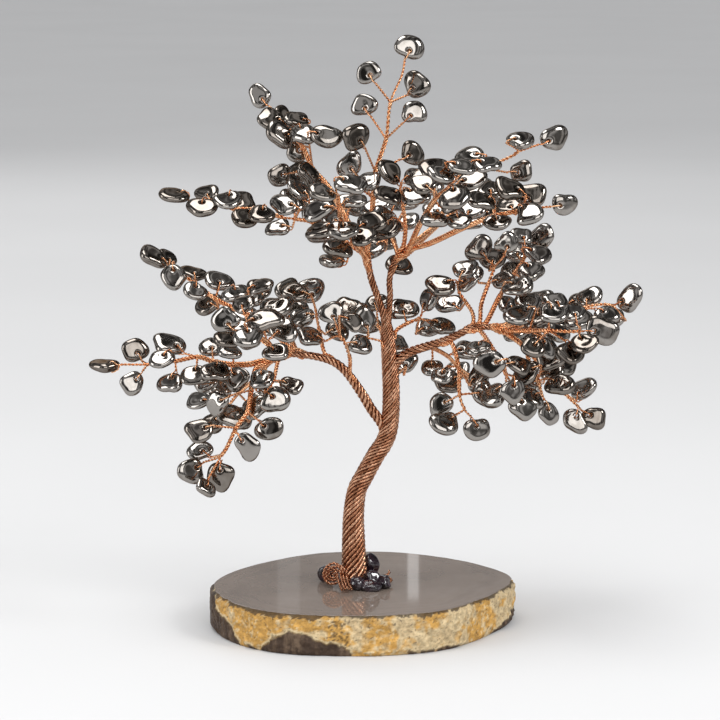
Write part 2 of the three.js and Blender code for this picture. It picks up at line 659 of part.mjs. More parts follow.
function nudgeOnce() {
  let moved = 0;
  const push = (chip, sign) => {
    chip.seat[1] += sign * NUDGE;
    moved += 1;
  };
  const places = allChips.map(chipPlace);
  allChips.forEach((a, i) => {
    for (let j = i + 1; j < allChips.length; j += 1) {
      const b = allChips[j];
      if (places[i].distanceTo(places[j]) > NEAR + SWING_REACH) continue;
      const touch = poseShares(a.sprig.body, b.sprig.body).some(([sa, sb]) => {
        const between = swung(places[j], b.sprig.body, sb).sub(swung(places[i], a.sprig.body, sa));
        return between.length() < NEAR && chipsTouch(a, b, between);
      });
      if (!touch) continue;
      const order = places[i].y < places[j].y ? 1 : -1;
      push(a, -order);
      push(b, order);
    }
  });
  allChips.forEach((chip, i) => {
    for (const wire of fixedWires) {
      if (places[i].distanceTo(wire.from) > NEAR + wire.from.distanceTo(wire.to)) continue;
      const near = poseShares(chip.sprig.body, wire.owner.body)
        .map(([sa, sb]) => chipMeetsWire(chip, places[i], wire, sa, sb)).find(Boolean);
      if (!near) continue;
      push(chip, places[i].y < near.y ? -1 : 1);
    }
  });
  const twigs = allChips.map(twigOf);
  allChips.forEach((chip, i) => {
    for (let j = 0; j < allChips.length; j += 1) {
      if (i === j) continue;
      const twig = { ...twigs[j], radius: TWIG_RADIUS, owner: allChips[j].sprig };
      if (places[i].distanceTo(twig.to) > NEAR + TWIG_REACH) continue;
      const near = poseShares(chip.sprig.body, twig.owner.body)
        .map(([sa, sb]) => chipMeetsWire(chip, places[i], twig, sa, sb)).find(Boolean);
      if (near) push(chip, places[i].y < near.y ? -1 : 1);
    }
    for (let j = i + 1; j < allChips.length; j += 1) {
      const other = allChips[j];
      if (other.sprig === chip.sprig && other.fork === chip.fork) continue;
      const apart = segmentsApart(twigs[i].from.clone(), twigs[i].to.clone(),
        twigs[j].from.clone(), twigs[j].to.clone());
      if (apart > 2 * TWIG_RADIUS + WIRE_ROOM) continue;
      const order = places[i].y < places[j].y ? 1 : -1;
      push(chip, -order);
      push(other, order);
    }
    for (const wire of fixedWires) {
      if (wire.owner === chip.sprig) continue;
      const apart = segmentsApart(twigs[i].from.clone(), twigs[i].to.clone(),
        wire.from.clone(), wire.to.clone());
      if (apart < TWIG_RADIUS + wire.radius + WIRE_ROOM) {
        push(chip, places[i].y < (wire.from.y + wire.to.y) / 2 ? -1 : 1);
      }
    }
  });
  return moved;
}

for (let step = 0; step < NUDGE_STEPS; step += 1) {
  if (nudgeOnce() === 0) break;
}

// ---------------------------------------------------------------- solids

const MERGE_DISTANCE = 1e-4;

function solidOf(geometry) {
  const merged = mergeVertices(stripped(geometry), MERGE_DISTANCE);
  const mesh = new wasm.Mesh({
    numProp: 3,
    vertProperties: new Float32Array(merged.attributes.position.array),
    triVerts: new Uint32Array(merged.index.array),
  });
  return new wasm.Manifold(mesh);
}

function geometryOf(solid) {
  const mesh = solid.getMesh();
  const geometry = new THREE.BufferGeometry();
  geometry.setAttribute('position', new THREE.BufferAttribute(mesh.vertProperties, 3));
  geometry.setIndex(new THREE.BufferAttribute(mesh.triVerts, 1));
  return geometry;
}

function chipSolid(chip) {
  const gem = GEM.clone();
  const toBox = new THREE.Vector3(1, 1, 1).divide(GEM_REACH).multiply(chip.reach);
  gem.applyMatrix4(new THREE.Matrix4().makeScale(...toBox));
  gem.applyMatrix4(chip.matrix);
  const at = chipPlace(chip);
  gem.translate(at.x, at.y, at.z);
  return solidOf(gem);
}

function twigSolid(chip) {
  const { from, to } = twigOf(chip);
  return solidOf(rope([from, to], [TWIG_RADIUS, TWIG_RADIUS], TWIG_SIDES));
}

function sprigGeometry(sprig) {
  const stem = solidOf(rope(sprig.points, sprig.radii, STEM_SIDES));
  const whole = sprig.chips.reduce((sum, chip) => sum.add(twigSolid(chip)).add(chipSolid(chip)), stem);
  return geometryOf(whole);
}

// ---------------------------------------------------------------- the slice and the foot

// outline of the slice seen from above, joined by one smooth closed curve
const SLICE_OUTLINE = [
  [-60, -22], [-50, -43], [-32, -58], [-8, -62], [10, -61], [31, -53], [42, -41], [58, -12],
  [62, 8], [46, 37], [15, 58], [-14, 58], [-27, 52], [-50, 28], [-61, 4],
];

function sliceGeometry() {
  const outline = SLICE_OUTLINE.map(([x, y]) => new THREE.Vector3(x, y, 0));
  const curve = new THREE.CatmullRomCurve3(outline, true, 'centripetal');
  const shape = new THREE.Shape(curve.getSpacedPoints(SLICE_SEGMENTS).slice(0, -1)
    .map((point) => new THREE.Vector2(point.x, point.y)));
  const geometry = new THREE.ExtrudeGeometry(shape, {
    depth: SLICE_THICKNESS - 2 * SLICE_BEVEL, bevelThickness: SLICE_BEVEL, bevelSize: SLICE_BEVEL,
    bevelOffset: -SLICE_BEVEL, bevelSegments: 1, steps: 1,
  });
  return geometry.translate(0, 0, SLICE_BEVEL);
}

// the wires curled over beside the foot of the trunk
const CROOK = {
  points: [
    [-6.6, -21, 17.7], [-9.6, -15, 18], [-13.6, -9.6, 18.6], [-15.2, -6.4, 20.6],
    [-14, -4.4, 23.2], [-11.6, -4.8, 23.8],
  ],
  radius: 1.5,
  sides: 6,
};
const CURL = { at: [9.4, -5.6, 19.4], ringRadius: 2, wireRadius: 0.6 };

function crookGeometry() {
  const points = CROOK.points.map((point) => new THREE.Vector3(...point));
  return rope(points, points.map(() => CROOK.radius), CROOK.sides);
}

function curlGeometry() {
  const ring = new THREE.TorusGeometry(CURL.ringRadius, CURL.wireRadius, 6, 12);
  return ring.rotateX(Math.PI / 2).translate(...CURL.at);
}

function footStoneGeometry([at, half]) {
  const toBox = new THREE.Vector3(...half).divide(GEM_REACH);
  return new THREE.IcosahedronGeometry(1, 0).scale(...toBox).translate(...at);
}

// ---------------------------------------------------------------- assembly

const tree = new THREE.Group();

function addNode(name, geometry, material) {
  const mesh = new THREE.Mesh(geometry, material);
  mesh.name = name;
  tree.add(mesh);
}

addNode('agate_slice', sliceGeometry(), MATERIALS.agate);
for (const { name, points, radii } of Object.values(ropes)) {
  addNode(`${name}_rope`, rope(points, radii, ROPE_SIDES), MATERIALS.copper);
}
addNode('foot_crook', crookGeometry(), MATERIALS.copper);
addNode('foot_curl', curlGeometry(), MATERIALS.copper);
for (const [name, stone] of Object.entries(FOOT_STONES)) {
  addNode(name, footStoneGeometry(stone), MATERIALS.garnet);
}
for (const sprig of allSprigs) {
  addNode(`${sprig.name}_sprig`, sprigGeometry(sprig), MATERIALS.hematite);
}

export default tree;
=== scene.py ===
"""A copper wire tree with polished hematite chips on an agate slice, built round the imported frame."""
import heapq
import itertools
import json
import math

import bmesh
import bpy
import numpy as np
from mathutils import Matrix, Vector

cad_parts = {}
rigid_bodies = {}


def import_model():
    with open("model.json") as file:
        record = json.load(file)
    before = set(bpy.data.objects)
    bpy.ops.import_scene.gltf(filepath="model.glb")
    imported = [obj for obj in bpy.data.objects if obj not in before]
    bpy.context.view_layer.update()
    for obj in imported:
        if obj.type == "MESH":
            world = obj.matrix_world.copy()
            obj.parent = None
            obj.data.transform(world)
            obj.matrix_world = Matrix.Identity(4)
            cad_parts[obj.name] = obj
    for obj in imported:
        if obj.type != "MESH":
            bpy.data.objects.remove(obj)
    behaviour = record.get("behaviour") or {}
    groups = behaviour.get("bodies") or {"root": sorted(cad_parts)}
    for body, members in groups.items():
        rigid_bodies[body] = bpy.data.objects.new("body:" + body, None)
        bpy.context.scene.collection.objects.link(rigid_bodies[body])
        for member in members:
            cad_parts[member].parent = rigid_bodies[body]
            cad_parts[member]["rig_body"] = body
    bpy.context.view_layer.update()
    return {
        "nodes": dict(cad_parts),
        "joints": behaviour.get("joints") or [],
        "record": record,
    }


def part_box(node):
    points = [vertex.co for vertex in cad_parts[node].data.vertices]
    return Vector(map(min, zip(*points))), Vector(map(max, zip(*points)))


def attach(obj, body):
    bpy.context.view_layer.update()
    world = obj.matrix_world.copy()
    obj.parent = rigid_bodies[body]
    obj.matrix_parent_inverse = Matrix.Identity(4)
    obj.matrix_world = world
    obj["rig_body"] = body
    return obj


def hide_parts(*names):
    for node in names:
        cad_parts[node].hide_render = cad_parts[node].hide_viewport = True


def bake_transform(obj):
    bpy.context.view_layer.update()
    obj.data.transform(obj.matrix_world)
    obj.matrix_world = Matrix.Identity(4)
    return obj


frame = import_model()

MM = 0.001

# ---- driving values

WIRE = 0.27 * MM  # radius of one wire
PAIR_PITCH = 3.0 * MM  # length of one turn of a twisted pair
ROPE_WIRE = 0.66 * MM  # about the radius of one strand of the trunk and the boughs
KNURL_PITCH = 3.0 * MM  # length of one turn of the pair that makes up a strand of a rope
KNURL = 0.20  # how much longer than round a strand's section is
KNURL_STAGGER = 1.9  # radians between one strand's knurl and the next one's
GROOVE_SHADE = 1.1  # how much darker the copper is painted between the strands, as painted shade
GROOVE_SHADE_FROM = 0.62  # the cosine, round a strand's section, where the painted shade begins
STRAND_SPACING = 2.25  # between the middles of strands round a rope, in strand radii
ROPE_STEP = 0.4 * MM  # between rows of corners along a rope
STEP = 0.32 * MM  # between rows of corners along a sprig's wires
HOLE = 0.75 * MM  # radius of the hole drilled in a chip
HOLE_INSET = 2.5 * MM  # from a chip's edge to the middle of its hole
FLOOR_GREY = 0.61  # how much light the floor gives back

rng = np.random.default_rng(7)


def norms(v):
    return np.linalg.norm(v, axis=-1)


def unit(v):
    return v / np.maximum(np.linalg.norm(v, axis=-1, keepdims=True), 1e-12)


def circle(count):
    """Evenly spaced directions, in radians."""
    return np.linspace(0, 2 * math.pi, count, endpoint=False)


# ---- reading the frame

WELD = 1e-6  # corners closer than this are one corner
CHIP_TRIANGLE = 1.4 * MM  # a chip's triangles are at least this high, a wire's are lower
RING_EDGE = 1.8 * MM  # edges round a wire are shorter than this
MATCH = 0.05 * MM  # a chip's corners mirror each other through its middle this closely
CHIP_CORNERS = 8  # fewer corners than this don't make a chip
ENTRY_PULL = 20 * MM  # evens out how near a junction is against how many edges lead to it
ICOSAHEDRON_REACH = 0.8507  # half an icosahedron's width, when its corners are 1 from its middle
FLATNESS = 0.02  # the middle of a flat end has all its neighbours this nearly in its plane


def welded(node):
    """A node's corners, each once, and its triangles as rows of corner numbers."""
    mesh = frame["nodes"][node].data
    mesh.calc_loop_triangles()
    corners = np.array([v.co for v in mesh.vertices])
    triangles = np.array([t.vertices for t in mesh.loop_triangles])
    keys = np.round(corners / WELD).astype(np.int64)
    _, first, index = np.unique(keys, axis=0, return_index=True, return_inverse=True)
    triangles = index.reshape(-1)[triangles]
    a, b, c = triangles.T
    return corners[first], triangles[(a != b) & (b != c) & (c != a)]


def groups_of(count, links):
    """Union-find: the group number of each of count things, given linked pairs."""
    parent = list(range(count))

    def top(i):
        while parent[i] != i:
            parent[i] = parent[parent[i]]
            i = parent[i]
        return i

    for a, b in links:
        parent[top(a)] = top(b)
    return np.array([top(i) for i in range(count)])


def edges_of(triangles):
    pairs = np.concatenate([triangles[:, [0, 1]], triangles[:, [1, 2]], triangles[:, [2, 0]]])
    return np.unique(np.sort(pairs, axis=1), axis=0)


def chip_from(points):
    """Centre, axes (rows: length, width, thickness) and half sizes of a chip, from its corners."""
    middles = (points[:, None] + points[None]) / 2
    best, kept = None, None
    for middle in middles.reshape(-1, 3):
        gaps = norms(points[:, None] + points[None] - 2 * middle).min(axis=1)
        matched = gaps < MATCH
        if kept is None or matched.sum() > kept.sum():
            best, kept = middle, matched
    spread = points[kept] - best
    values, vectors = np.linalg.eigh(spread.T @ spread / len(spread))
    half = ICOSAHEDRON_REACH * np.sqrt(3 * values[::-1])
    axes = vectors.T[::-1].copy()
    axes[2] *= 1 if axes[2][2] - axes[2][1] > 0 else -1
    axes[1] = np.cross(axes[2], axes[0])
    return best, axes, half


def read_sprig(node):
    """Chips and wires of a sprig: a chip list, junction points, and each junction's neighbours."""
    corners, triangles = welded(node)
    sides = corners[triangles]
    lengths = norms(sides - np.roll(sides, 1, axis=1))
    area = norms(np.cross(sides[:, 1] - sides[:, 0], sides[:, 2] - sides[:, 0]))
    high = area / lengths.max(axis=1) > CHIP_TRIANGLE
    big = edges_of(triangles[high])
    group = groups_of(len(corners), big)
    chips, owner = [], np.full(len(corners), -1)
    for g in np.unique(group[big[:, 0]]):
        members = np.flatnonzero(group == g)
        if len(members) < CHIP_CORNERS:
            continue
        centre, axes, half = chip_from(corners[members])
        near = norms(2 * centre - corners[members][:, None] - corners[members][None])
        owner[members[near.min(axis=1) < MATCH]] = len(chips)
        chips.append({"centre": centre, "axes": axes, "half": half})
    edges = edges_of(triangles)
    length = norms(corners[edges[:, 0]] - corners[edges[:, 1]])
    wire = (owner[edges] < 0).all(axis=1)
    cluster = groups_of(len(corners), edges[wire & (length < RING_EDGE)])
    names = np.unique(cluster[owner < 0])
    number = {c: i for i, c in enumerate(names)}
    junctions = np.array([corners[(cluster == c) & (owner < 0)].mean(axis=0) for c in names])
    links = {i: set() for i in range(len(names))}
    for a, b in edges[wire]:
        i, j = number[cluster[a]], number[cluster[b]]
        if i != j:
            links[i].add(j)
            links[j].add(i)
    votes = np.zeros((len(chips), len(names)))
    for a, b in edges[~wire]:
        for one, other in ((a, b), (b, a)):
            if owner[one] >= 0 and owner[other] < 0:
                votes[owner[one], number[cluster[other]]] += 1
    for k, chip in enumerate(chips):
        gap = norms(junctions - chip["centre"])
        chip["entry"] = int(np.argmax(votes[k] - gap / ENTRY_PULL))
    return chips, junctions, links


def rings_of(node, start):
    """Middle and radius of each ring of a rope node, from the end nearest to start."""
    corners, triangles = welded(node)
    edges = edges_of(triangles)
    around = {i: set() for i in range(len(corners))}
    for a, b in edges:
        around[a].add(b)
        around[b].add(a)
    flat = [np.linalg.svd(corners[list(n)] - corners[i], compute_uv=False)[[0, 2]] for i, n in around.items()]
    caps = [i for i, (large, small) in enumerate(flat) if small < FLATNESS * large]
    first = min(caps, key=lambda i: np.linalg.norm(corners[i] - start))
    layer = {first} | around[first]
    seen, middles, radii = set(layer), [], []
    while layer:
        ring = corners[sorted(layer - {first})]
        middles.append(ring.mean(axis=0))
        radii.append(norms(ring - middles[-1]).mean())
        layer = set().union(*(around[i] for i in layer)) - seen
        seen |= layer
    if len(middles) > 2 and radii[-1] < 0.3 * radii[-2]:
        middles, radii = middles[:-1], radii[:-1]
    return np.array(middles), np.array(radii)


# ---- mesh helpers

def make_object(name, corners, faces, material):
    """A smooth-shaded mesh object from arrays. Rows of faces all have the same number of corners."""
    faces = np.asarray(faces, dtype=np.int32)
    mesh = bpy.data.meshes.new(name)
    mesh.vertices.add(len(corners))
    mesh.vertices.foreach_set("co", np.asarray(corners, dtype=np.float32).ravel())
    mesh.loops.add(faces.size)
    mesh.loops.foreach_set("vertex_index", faces.ravel())
    mesh.polygons.add(len(faces))
    mesh.polygons.foreach_set("loop_start", np.arange(0, faces.size, faces.shape[1], dtype=np.int32))
    mesh.polygons.foreach_set("use_smooth", np.full(len(faces), True))
    mesh.update(calc_edges=True)
    mesh.validate()
    mesh.materials.append(material)
    obj = bpy.data.objects.new(name, mesh)
    bpy.context.scene.collection.objects.link(obj)
    return obj


class Parts:
    """Collects meshes with four-cornered faces, to be joined into one object."""

    def __init__(self):
        self.corners, self.faces, self.tones, self.count = [], [], [], 0

    def add(self, corners, faces, tone=0.5):
        self.corners.append(corners)
        self.faces.append(np.asarray(faces) + self.count)
        self.tones.append(np.broadcast_to(tone, len(corners)))
        self.count += len(corners)

    def build(self, name, material):
        obj = make_object(name, np.concatenate(self.corners), np.concatenate(self.faces), material)
        tone = obj.data.attributes.new("tone", "FLOAT", "POINT")
        tone.data.foreach_set("value", np.concatenate(self.tones).astype(np.float32))
        return obj


def resampled(points, step, radii=None):
    """Evenly spaced points on a smooth curve through the given ones, with radii to match."""
    points = np.asarray(points, dtype=float)
    if len(points) == 2:
        points = np.array([points[0], (points[0] + points[1]) / 2, points[1]])
        radii = None if radii is None else np.array([radii[0], np.mean(radii), radii[1]])
    ends = np.vstack([2 * points[0] - points[1], points, 2 * points[-1] - points[-2]])
    fine, knots = [], []
    for i in range(1, len(ends) - 2):
        t = np.linspace(0, 1, 24, endpoint=False)[:, None]
        a, b, c, d = ends[i - 1:i + 3]
        spline = 0.5 * (2 * b + (c - a) * t + (2 * a - 5 * b + 4 * c - d) * t ** 2
                        + (3 * b - a - 3 * c + d) * t ** 3)
        fine.append(spline)
        knots.append(i - 1 + t[:, 0])
    fine = np.vstack(fine + [points[-1:]])
    knots = np.concatenate(knots + [[len(points) - 1]])
    run = np.concatenate([[0], np.cumsum(norms(np.diff(fine, axis=0)))])
    count = max(int(math.ceil(run[-1] / step)) + 1, 3)
    even = np.linspace(0, run[-1], count)
    path = np.stack([np.interp(even, run, fine[:, k]) for k in range(3)], axis=1)
    if radii is None:
        return path
    return path, np.interp(np.interp(even, run, knots), np.arange(len(radii)), radii)


def frames_along(path):
    """Tangents and two crossing directions that turn as little as possible along a path."""
    tangents = unit(np.gradient(path, axis=0))
    side = np.cross(tangents[0], (0.31, 0.9, 0.3))
    across = np.zeros_like(path)
    for i, tangent in enumerate(tangents):
        side = unit(side - tangent * (side @ tangent))
        across[i] = side
    return tangents, across, np.cross(tangents, across)


def tube_faces(rows, sides, closed=False):
    """Faces of a tube of rows x sides corners."""
    last = rows if closed else rows - 1
    here = np.arange(last)[:, None] * sides
    above = (np.arange(last)[:, None] + 1) % rows * sides
    side = np.arange(sides)[None]
    turn = (side + 1) % sides
    return np.stack([here + side, here + turn, above + turn, above + side], axis=-1).reshape(-1, 4)


def capped(corners, faces, rows, sides):
    """Adds flat ends to a tube whose sides are even in number, as four-cornered faces."""
    caps = []
    for start, order in ((0, -1), ((rows - 1) * sides, 1)):
        ring = [start + i for i in range(sides)][::order]
        caps += [[ring[0], *ring[k:k + 3]] for k in range(1, sides - 2, 2)]
    return corners, np.vstack([faces, caps])


def section(across, up, angle):
    """Unit rings round a path, one for each pair of crossing directions."""
    return across[:, None] * np.cos(angle)[None, :, None] + up[:, None] * np.sin(angle)[None, :, None]


def add_tube(parts, path, radius, sides=6, tone=0.5):
    radius = np.broadcast_to(radius, len(path))
    _, across, up = frames_along(path)
    corners = path[:, None] + section(across, up, circle(sides)) * radius[:, None, None]
    parts.add(*capped(corners.reshape(-1, 3), tube_faces(len(path), sides), len(path), sides), tone)


def add_twist(parts, path, centre_radius, strands, strand_radius, pitch, sides=6, phase=0.0, knurl=0.0):
    """Strands that wind round a path as a right-hand screw.

    Each is a tube. With a knurl it stands for a twisted pair: its section is longer than round and
    turns as it goes, and the copper is painted darker between the strands, as painted shade.
    """
    step = norms(np.diff(path, axis=0))
    pitch = np.broadcast_to(pitch, len(path))
    turn = np.concatenate([[0], np.cumsum(step / ((pitch[1:] + pitch[:-1]) / 2))]) * 2 * math.pi + phase
    centre_radius = np.broadcast_to(centre_radius, len(path))
    strand_radius = np.broadcast_to(strand_radius, len(path))
    tangents, across, up = frames_along(path)
    angle = circle(sides)
    faces = tube_faces(len(path), sides)
    run = np.concatenate([[0], np.cumsum(step)])
    # painted shade: the sides of each strand that face its neighbours and the core get a lower tone
    painted_groove_shade = np.tile(np.clip((GROOVE_SHADE_FROM - np.cos(angle)) * 2.2, 0, 1), len(path)) * (knurl > 0)
    for k in range(strands):
        theta = (turn + 2 * math.pi * k / strands)[:, None]
        outward = across * np.cos(theta) + up * np.sin(theta)
        around = up * np.cos(theta) - across * np.sin(theta)
        along = unit(tangents * pitch[:, None] + around * (2 * math.pi * centre_radius)[:, None])
        sideways = np.cross(along, outward)
        middle = path + outward * centre_radius[:, None]
        ring = section(outward, sideways, angle)
        spin = -2 * math.pi * run / KNURL_PITCH + k * KNURL_STAGGER
        swell = 1 + knurl * np.cos(2 * (angle[None, :] - spin[:, None]))
        corners = (middle[:, None] + ring * (strand_radius[:, None] * swell)[:, :, None]).reshape(-1, 3)
        parts.add(*capped(corners, faces, len(path), sides), rng.uniform(0, 1) - GROOVE_SHADE * painted_groove_shade)


# ---- chips

HASH_STEPS = (374761393, 668265263, 2147483647)  # large odd numbers that scatter a grid cell's three indices
HASH_MIX = 1274126177
LAYER_FADE = 1.9  # each finer layer of noise is this much weaker than the last


def noise_field(points, scale, seed):
    """Smooth noise from 0 to 1 at each point, the same each run."""
    p = np.asarray(points) / scale + seed * 17.31
    base = np.floor(p).astype(np.int64)
    f = p - base
    f = f * f * (3 - 2 * f)
    total = np.zeros(len(p))
    for corner in itertools.product((0, 1), repeat=3):
        cell = (base + corner) * HASH_STEPS
        h = (cell[:, 0] + cell[:, 1] + cell[:, 2] + seed * 97) % 2 ** 32
        h = ((h ^ (h >> 13)) * HASH_MIX) % 2 ** 32
        value = ((h ^ (h >> 16)) % 2 ** 16) / (2 ** 16 - 1)
        weight = np.prod(np.where(corner, f, 1 - f), axis=1)
        total += value * weight
    return total


def layered_noise(points, scale, seed, layers=4):
    """Noise from 0 to 1 with finer layers added to it."""
    total, weight = np.zeros(len(points)), 0.0
    for k in range(layers):
        total += noise_field(points, scale / 2 ** k, seed + k) / LAYER_FADE ** k
        weight += 1 / LAYER_FADE ** k
    return total / weight


class Pebble:
    """The shape of one tumbled chip, in its own length, width and thickness directions."""

    def __init__(self, half):
        self.a, self.b, self.c = half * CHIP_FIT
        self.squareness = rng.uniform(2.0, 2.7)
        self.flatness = rng.uniform(3.0, 4.6)
        self.waves = [(k, rng.uniform(0.4, 1.0) * size, rng.uniform(0, 2 * math.pi))
                      for k, size in ((1, 0.06), (2, 0.09), (3, 0.085), (4, 0.035), (5, 0.02))]
        self.wedge = (rng.uniform(0, 0.3), rng.uniform(0, 2 * math.pi))
        self.bend = (rng.uniform(0.02, 0.16), rng.uniform(0.6, 1.3), rng.uniform(0, 2 * math.pi))
        self.dents = [(rng.uniform(-1, 1, 2), rng.uniform(0.55, 0.9), rng.uniform(-0.22, 0.1))
                      for _ in range(3)]

    def outline(self, angle):
        """How far the chip's edge is from its middle in a direction."""
        n = self.squareness
        base = ((np.abs(np.cos(angle)) / self.a) ** n + (np.abs(np.sin(angle)) / self.b) ** n) ** (-1 / n)
        return base * (0.99 + sum(size * np.cos(k * angle + start) for k, size, start in self.waves))

    def surfaces(self, x, y):
        """Heights of the upper and the lower face over a place."""
        angle = np.arctan2(y, x)
        s = np.clip(np.hypot(x, y) / self.outline(angle), 0, 1)
        thick = self.c * np.sqrt(np.clip(1 - s ** self.flatness, 0, 1))
        thick = thick * (1 + self.wedge[0] * s * np.cos(angle - self.wedge[1]))
        u, v = x / self.a, y / self.b
        dent = sum(size * np.exp(-((u - at[0] * 0.6) ** 2 + (v - at[1] * 0.6) ** 2) / wide ** 2)
                   for at, wide, size in self.dents)
        size, rate, start = self.bend
        middle = self.c * size * (np.cos(rate * 2 * u + start) + 0.4 * v * v)
        return middle + thick * (1 + dent), middle - thick * (1 - 0.5 * dent)


CHIP_SPOKES = 48
CHIP_RINGS = 13
CHIP_FIT = (0.9792, 0.988, 0.832)  # a chip's length, width and thickness, as shares of its CAD block's
HALVINGS = 26  # enough to find a chip's edge to far less than a wire
HOLE_SINK = 0.16  # the share of its thickness that a chip loses at its hole
CLEAR = WIRE * 1.12  # from a chip's face to the middle of the wire on it
KNOT_RUN = 1.0 * MM  # from a chip's edge to where its loop closes


def build_chip(parts, chip, towards):
    """Adds a chip with its hole. Returns the loop of wire through the hole, and the knot where it closes."""
    pebble = Pebble(chip["half"])
    local = chip["axes"] @ (towards - chip["centre"])
    heading = math.atan2(local[1], local[0])
    if math.hypot(local[0], local[1]) < 0.35 * abs(local[2]):
        heading = 0.0 if local[0] > 0 else math.pi
    ahead = np.array([math.cos(heading), math.sin(heading)])
    edge = float(pebble.outline(heading))
    hole_at = ahead * (edge - HOLE_INSET * rng.uniform(0.92, 1.12))
    angle = circle(CHIP_SPOKES)
    spokes = np.stack([np.cos(angle), np.sin(angle)], axis=1)
    low, high = np.zeros(CHIP_SPOKES), np.full(CHIP_SPOKES, 3 * chip["half"][0])
    for _ in range(HALVINGS):
        reach = (low + high) / 2
        at = hole_at + spokes * reach[:, None]
        inside = np.hypot(*at.T) < pebble.outline(np.arctan2(at[:, 1], at[:, 0]))
        low, high = np.where(inside, reach, low), np.where(inside, high, reach)
    share = np.sin(np.linspace(0, math.pi / 2, CHIP_RINGS))
    radius = HOLE + (low[:, None] - HOLE) * share[None]
    flat = hole_at + spokes[:, None] * radius[..., None]
    top, under = pebble.surfaces(flat[..., 0].ravel(), flat[..., 1].ravel())
    shape = (CHIP_SPOKES, CHIP_RINGS)
    top, under = top.reshape(shape), under.reshape(shape)
    middle = (top + under) / 2
    sink = 1 - HOLE_SINK * np.exp(-((radius - HOLE) / (0.35 * MM)) ** 2)
    top, under = middle + (top - middle) * sink, middle + (under - middle) * sink
    rows = [np.column_stack([flat[:, k], top[:, k]]) for k in range(CHIP_RINGS)]
    rows += [np.column_stack([flat[:, k], under[:, k]]) for k in range(CHIP_RINGS - 2, -1, -1)]
    corners = chip["centre"] + np.vstack(rows) @ chip["axes"]
    faces = tube_faces(len(rows), CHIP_SPOKES, closed=True)
    parts.add(corners, faces[:, ::-1], rng.uniform(0, 1))

    across = np.array([-ahead[1], ahead[0]])
    lean = across * rng.uniform(-0.35, 0.35) * MM
    upper, lower = [], []
    for share_out in (0.0, 0.25, 0.5, 0.75, 0.9):
        at = hole_at * (1 - share_out) + (ahead * edge) * share_out + lean * share_out
        t, u = pebble.surfaces(at[:1], at[1:])
        upper.append([at[0], at[1], t[0] + CLEAR])
        lower.append([at[0], at[1], u[0] - CLEAR])
    t, u = pebble.surfaces(hole_at[:1], hole_at[1:])
    rim = ahead * (edge + WIRE * 1.6)
    mid = (upper[-1][2] + lower[-1][2]) / 2
    knot = ahead * (edge + KNOT_RUN)
    back = hole_at - ahead * HOLE * 0.45
    upper_rim = [*(rim + lean), mid + 0.62 * (upper[-1][2] - mid) + CLEAR]
    lower_rim = [*(rim + lean), mid + 0.62 * (lower[-1][2] - mid) - CLEAR]
    through = [[*hole_at, t[0] + CLEAR * 0.6], [*back, (t[0] + u[0]) / 2], [*hole_at, u[0] - CLEAR * 0.6]]
    start = [*(knot + across * WIRE * 0.7), mid + WIRE]
    end = [*(knot - across * WIRE * 0.7), mid - WIRE]
    route = [start, upper_rim] + upper[::-1][:-1] + through + lower[1:] + [lower_rim, end]
    world = chip["centre"] + np.array(route) @ chip["axes"]
    return world, chip["centre"] + np.array([*knot, mid]) @ chip["axes"]


# ---- materials

def feed(tree, node, inputs):
    """Sets a node's inputs to values, or links them to other nodes' outputs."""
    for name, value in inputs.items():
        if isinstance(value, bpy.types.NodeSocket):
            tree.links.new(value, node.inputs[name])
        else:
            node.inputs[name].default_value = value


def add_node(tree, kind, inputs, **settings):
    node = tree.nodes.new("ShaderNode" + kind)
    for name, value in settings.items():
        setattr(node, name, value)
    feed(tree, node, inputs)
    return node


def make_material(name, inputs_of, *tints):
    """A material whose shader gets the inputs that a function makes in its node tree."""
    material = bpy.data.materials.new(name)
    material.use_nodes = True
    tree = material.node_tree
    feed(tree, tree.nodes["Principled BSDF"], inputs_of(tree, *tints))
    return material


def ramp(tree, source, stops):
    """A colour that follows a value through stops."""
    node = add_node(tree, "ValToRGB", {"Fac": source})
    elements = node.color_ramp.elements
    while len(elements) < len(stops):
        elements.new(0.5)
    for element, (at, colour) in zip(elements, stops):
        element.position = at
        element.color = (*colour, 1)
    return node.outputs["Color"]


def noise_texture(tree, scale, detail, roughness=0.5):
    """Noise in the piece's own coordinates."""
    place = add_node(tree, "TexCoord", {}).outputs["Object"]
    inputs = {"Vector": place, "Scale": scale, "Detail": detail, "Roughness": roughness}
    return add_node(tree, "TexNoise", inputs).outputs["Fac"]


def attribute(tree, name, output="Fac"):
    """A value or a colour that is stored at the mesh's corners."""
    return add_node(tree, "Attribute", {}, attribute_name=name).outputs[output]


def ranged(tree, source, low, high):
    """A value from 0 to 1, stretched to another range."""
    return add_node(tree, "MapRange", {"Value": source, "To Min": low, "To Max": high}).outputs["Result"]


def bumped(tree, height, strength, distance):
    inputs = {"Height": height, "Strength": strength, "Distance": distance}
    return add_node(tree, "Bump", inputs).outputs["Normal"]


def multiplied(tree, first, second, share):
    """One colour, darkened or lightened by a share of another."""
    inputs = {"Factor": share, "A": first, "B": second}
    return add_node(tree, "Mix", inputs, data_type="RGBA", blend_type="MULTIPLY").outputs["Result"]


def hematite(tree):
    inputs = {0: attribute(tree, "tone"), 1: noise_texture(tree, 260, 4)}
    blend = add_node(tree, "Math", inputs, operation="ADD")
    tints = [(0.35, (0.150, 0.127, 0.108)), (0.8, (0.235, 0.212, 0.190)), (1.0, (0.32, 0.298, 0.275))]
    return {"Metallic": 1.0,
            "Specular Tint": (0.30, 0.27, 0.25, 1),
            "Base Color": ramp(tree, blend.outputs[0], tints),
            "Roughness": ranged(tree, noise_texture(tree, 900, 3), 0.04, 0.12),
            "Normal": bumped(tree, noise_texture(tree, 240, 1), 0.1, 0.5 * MM)}


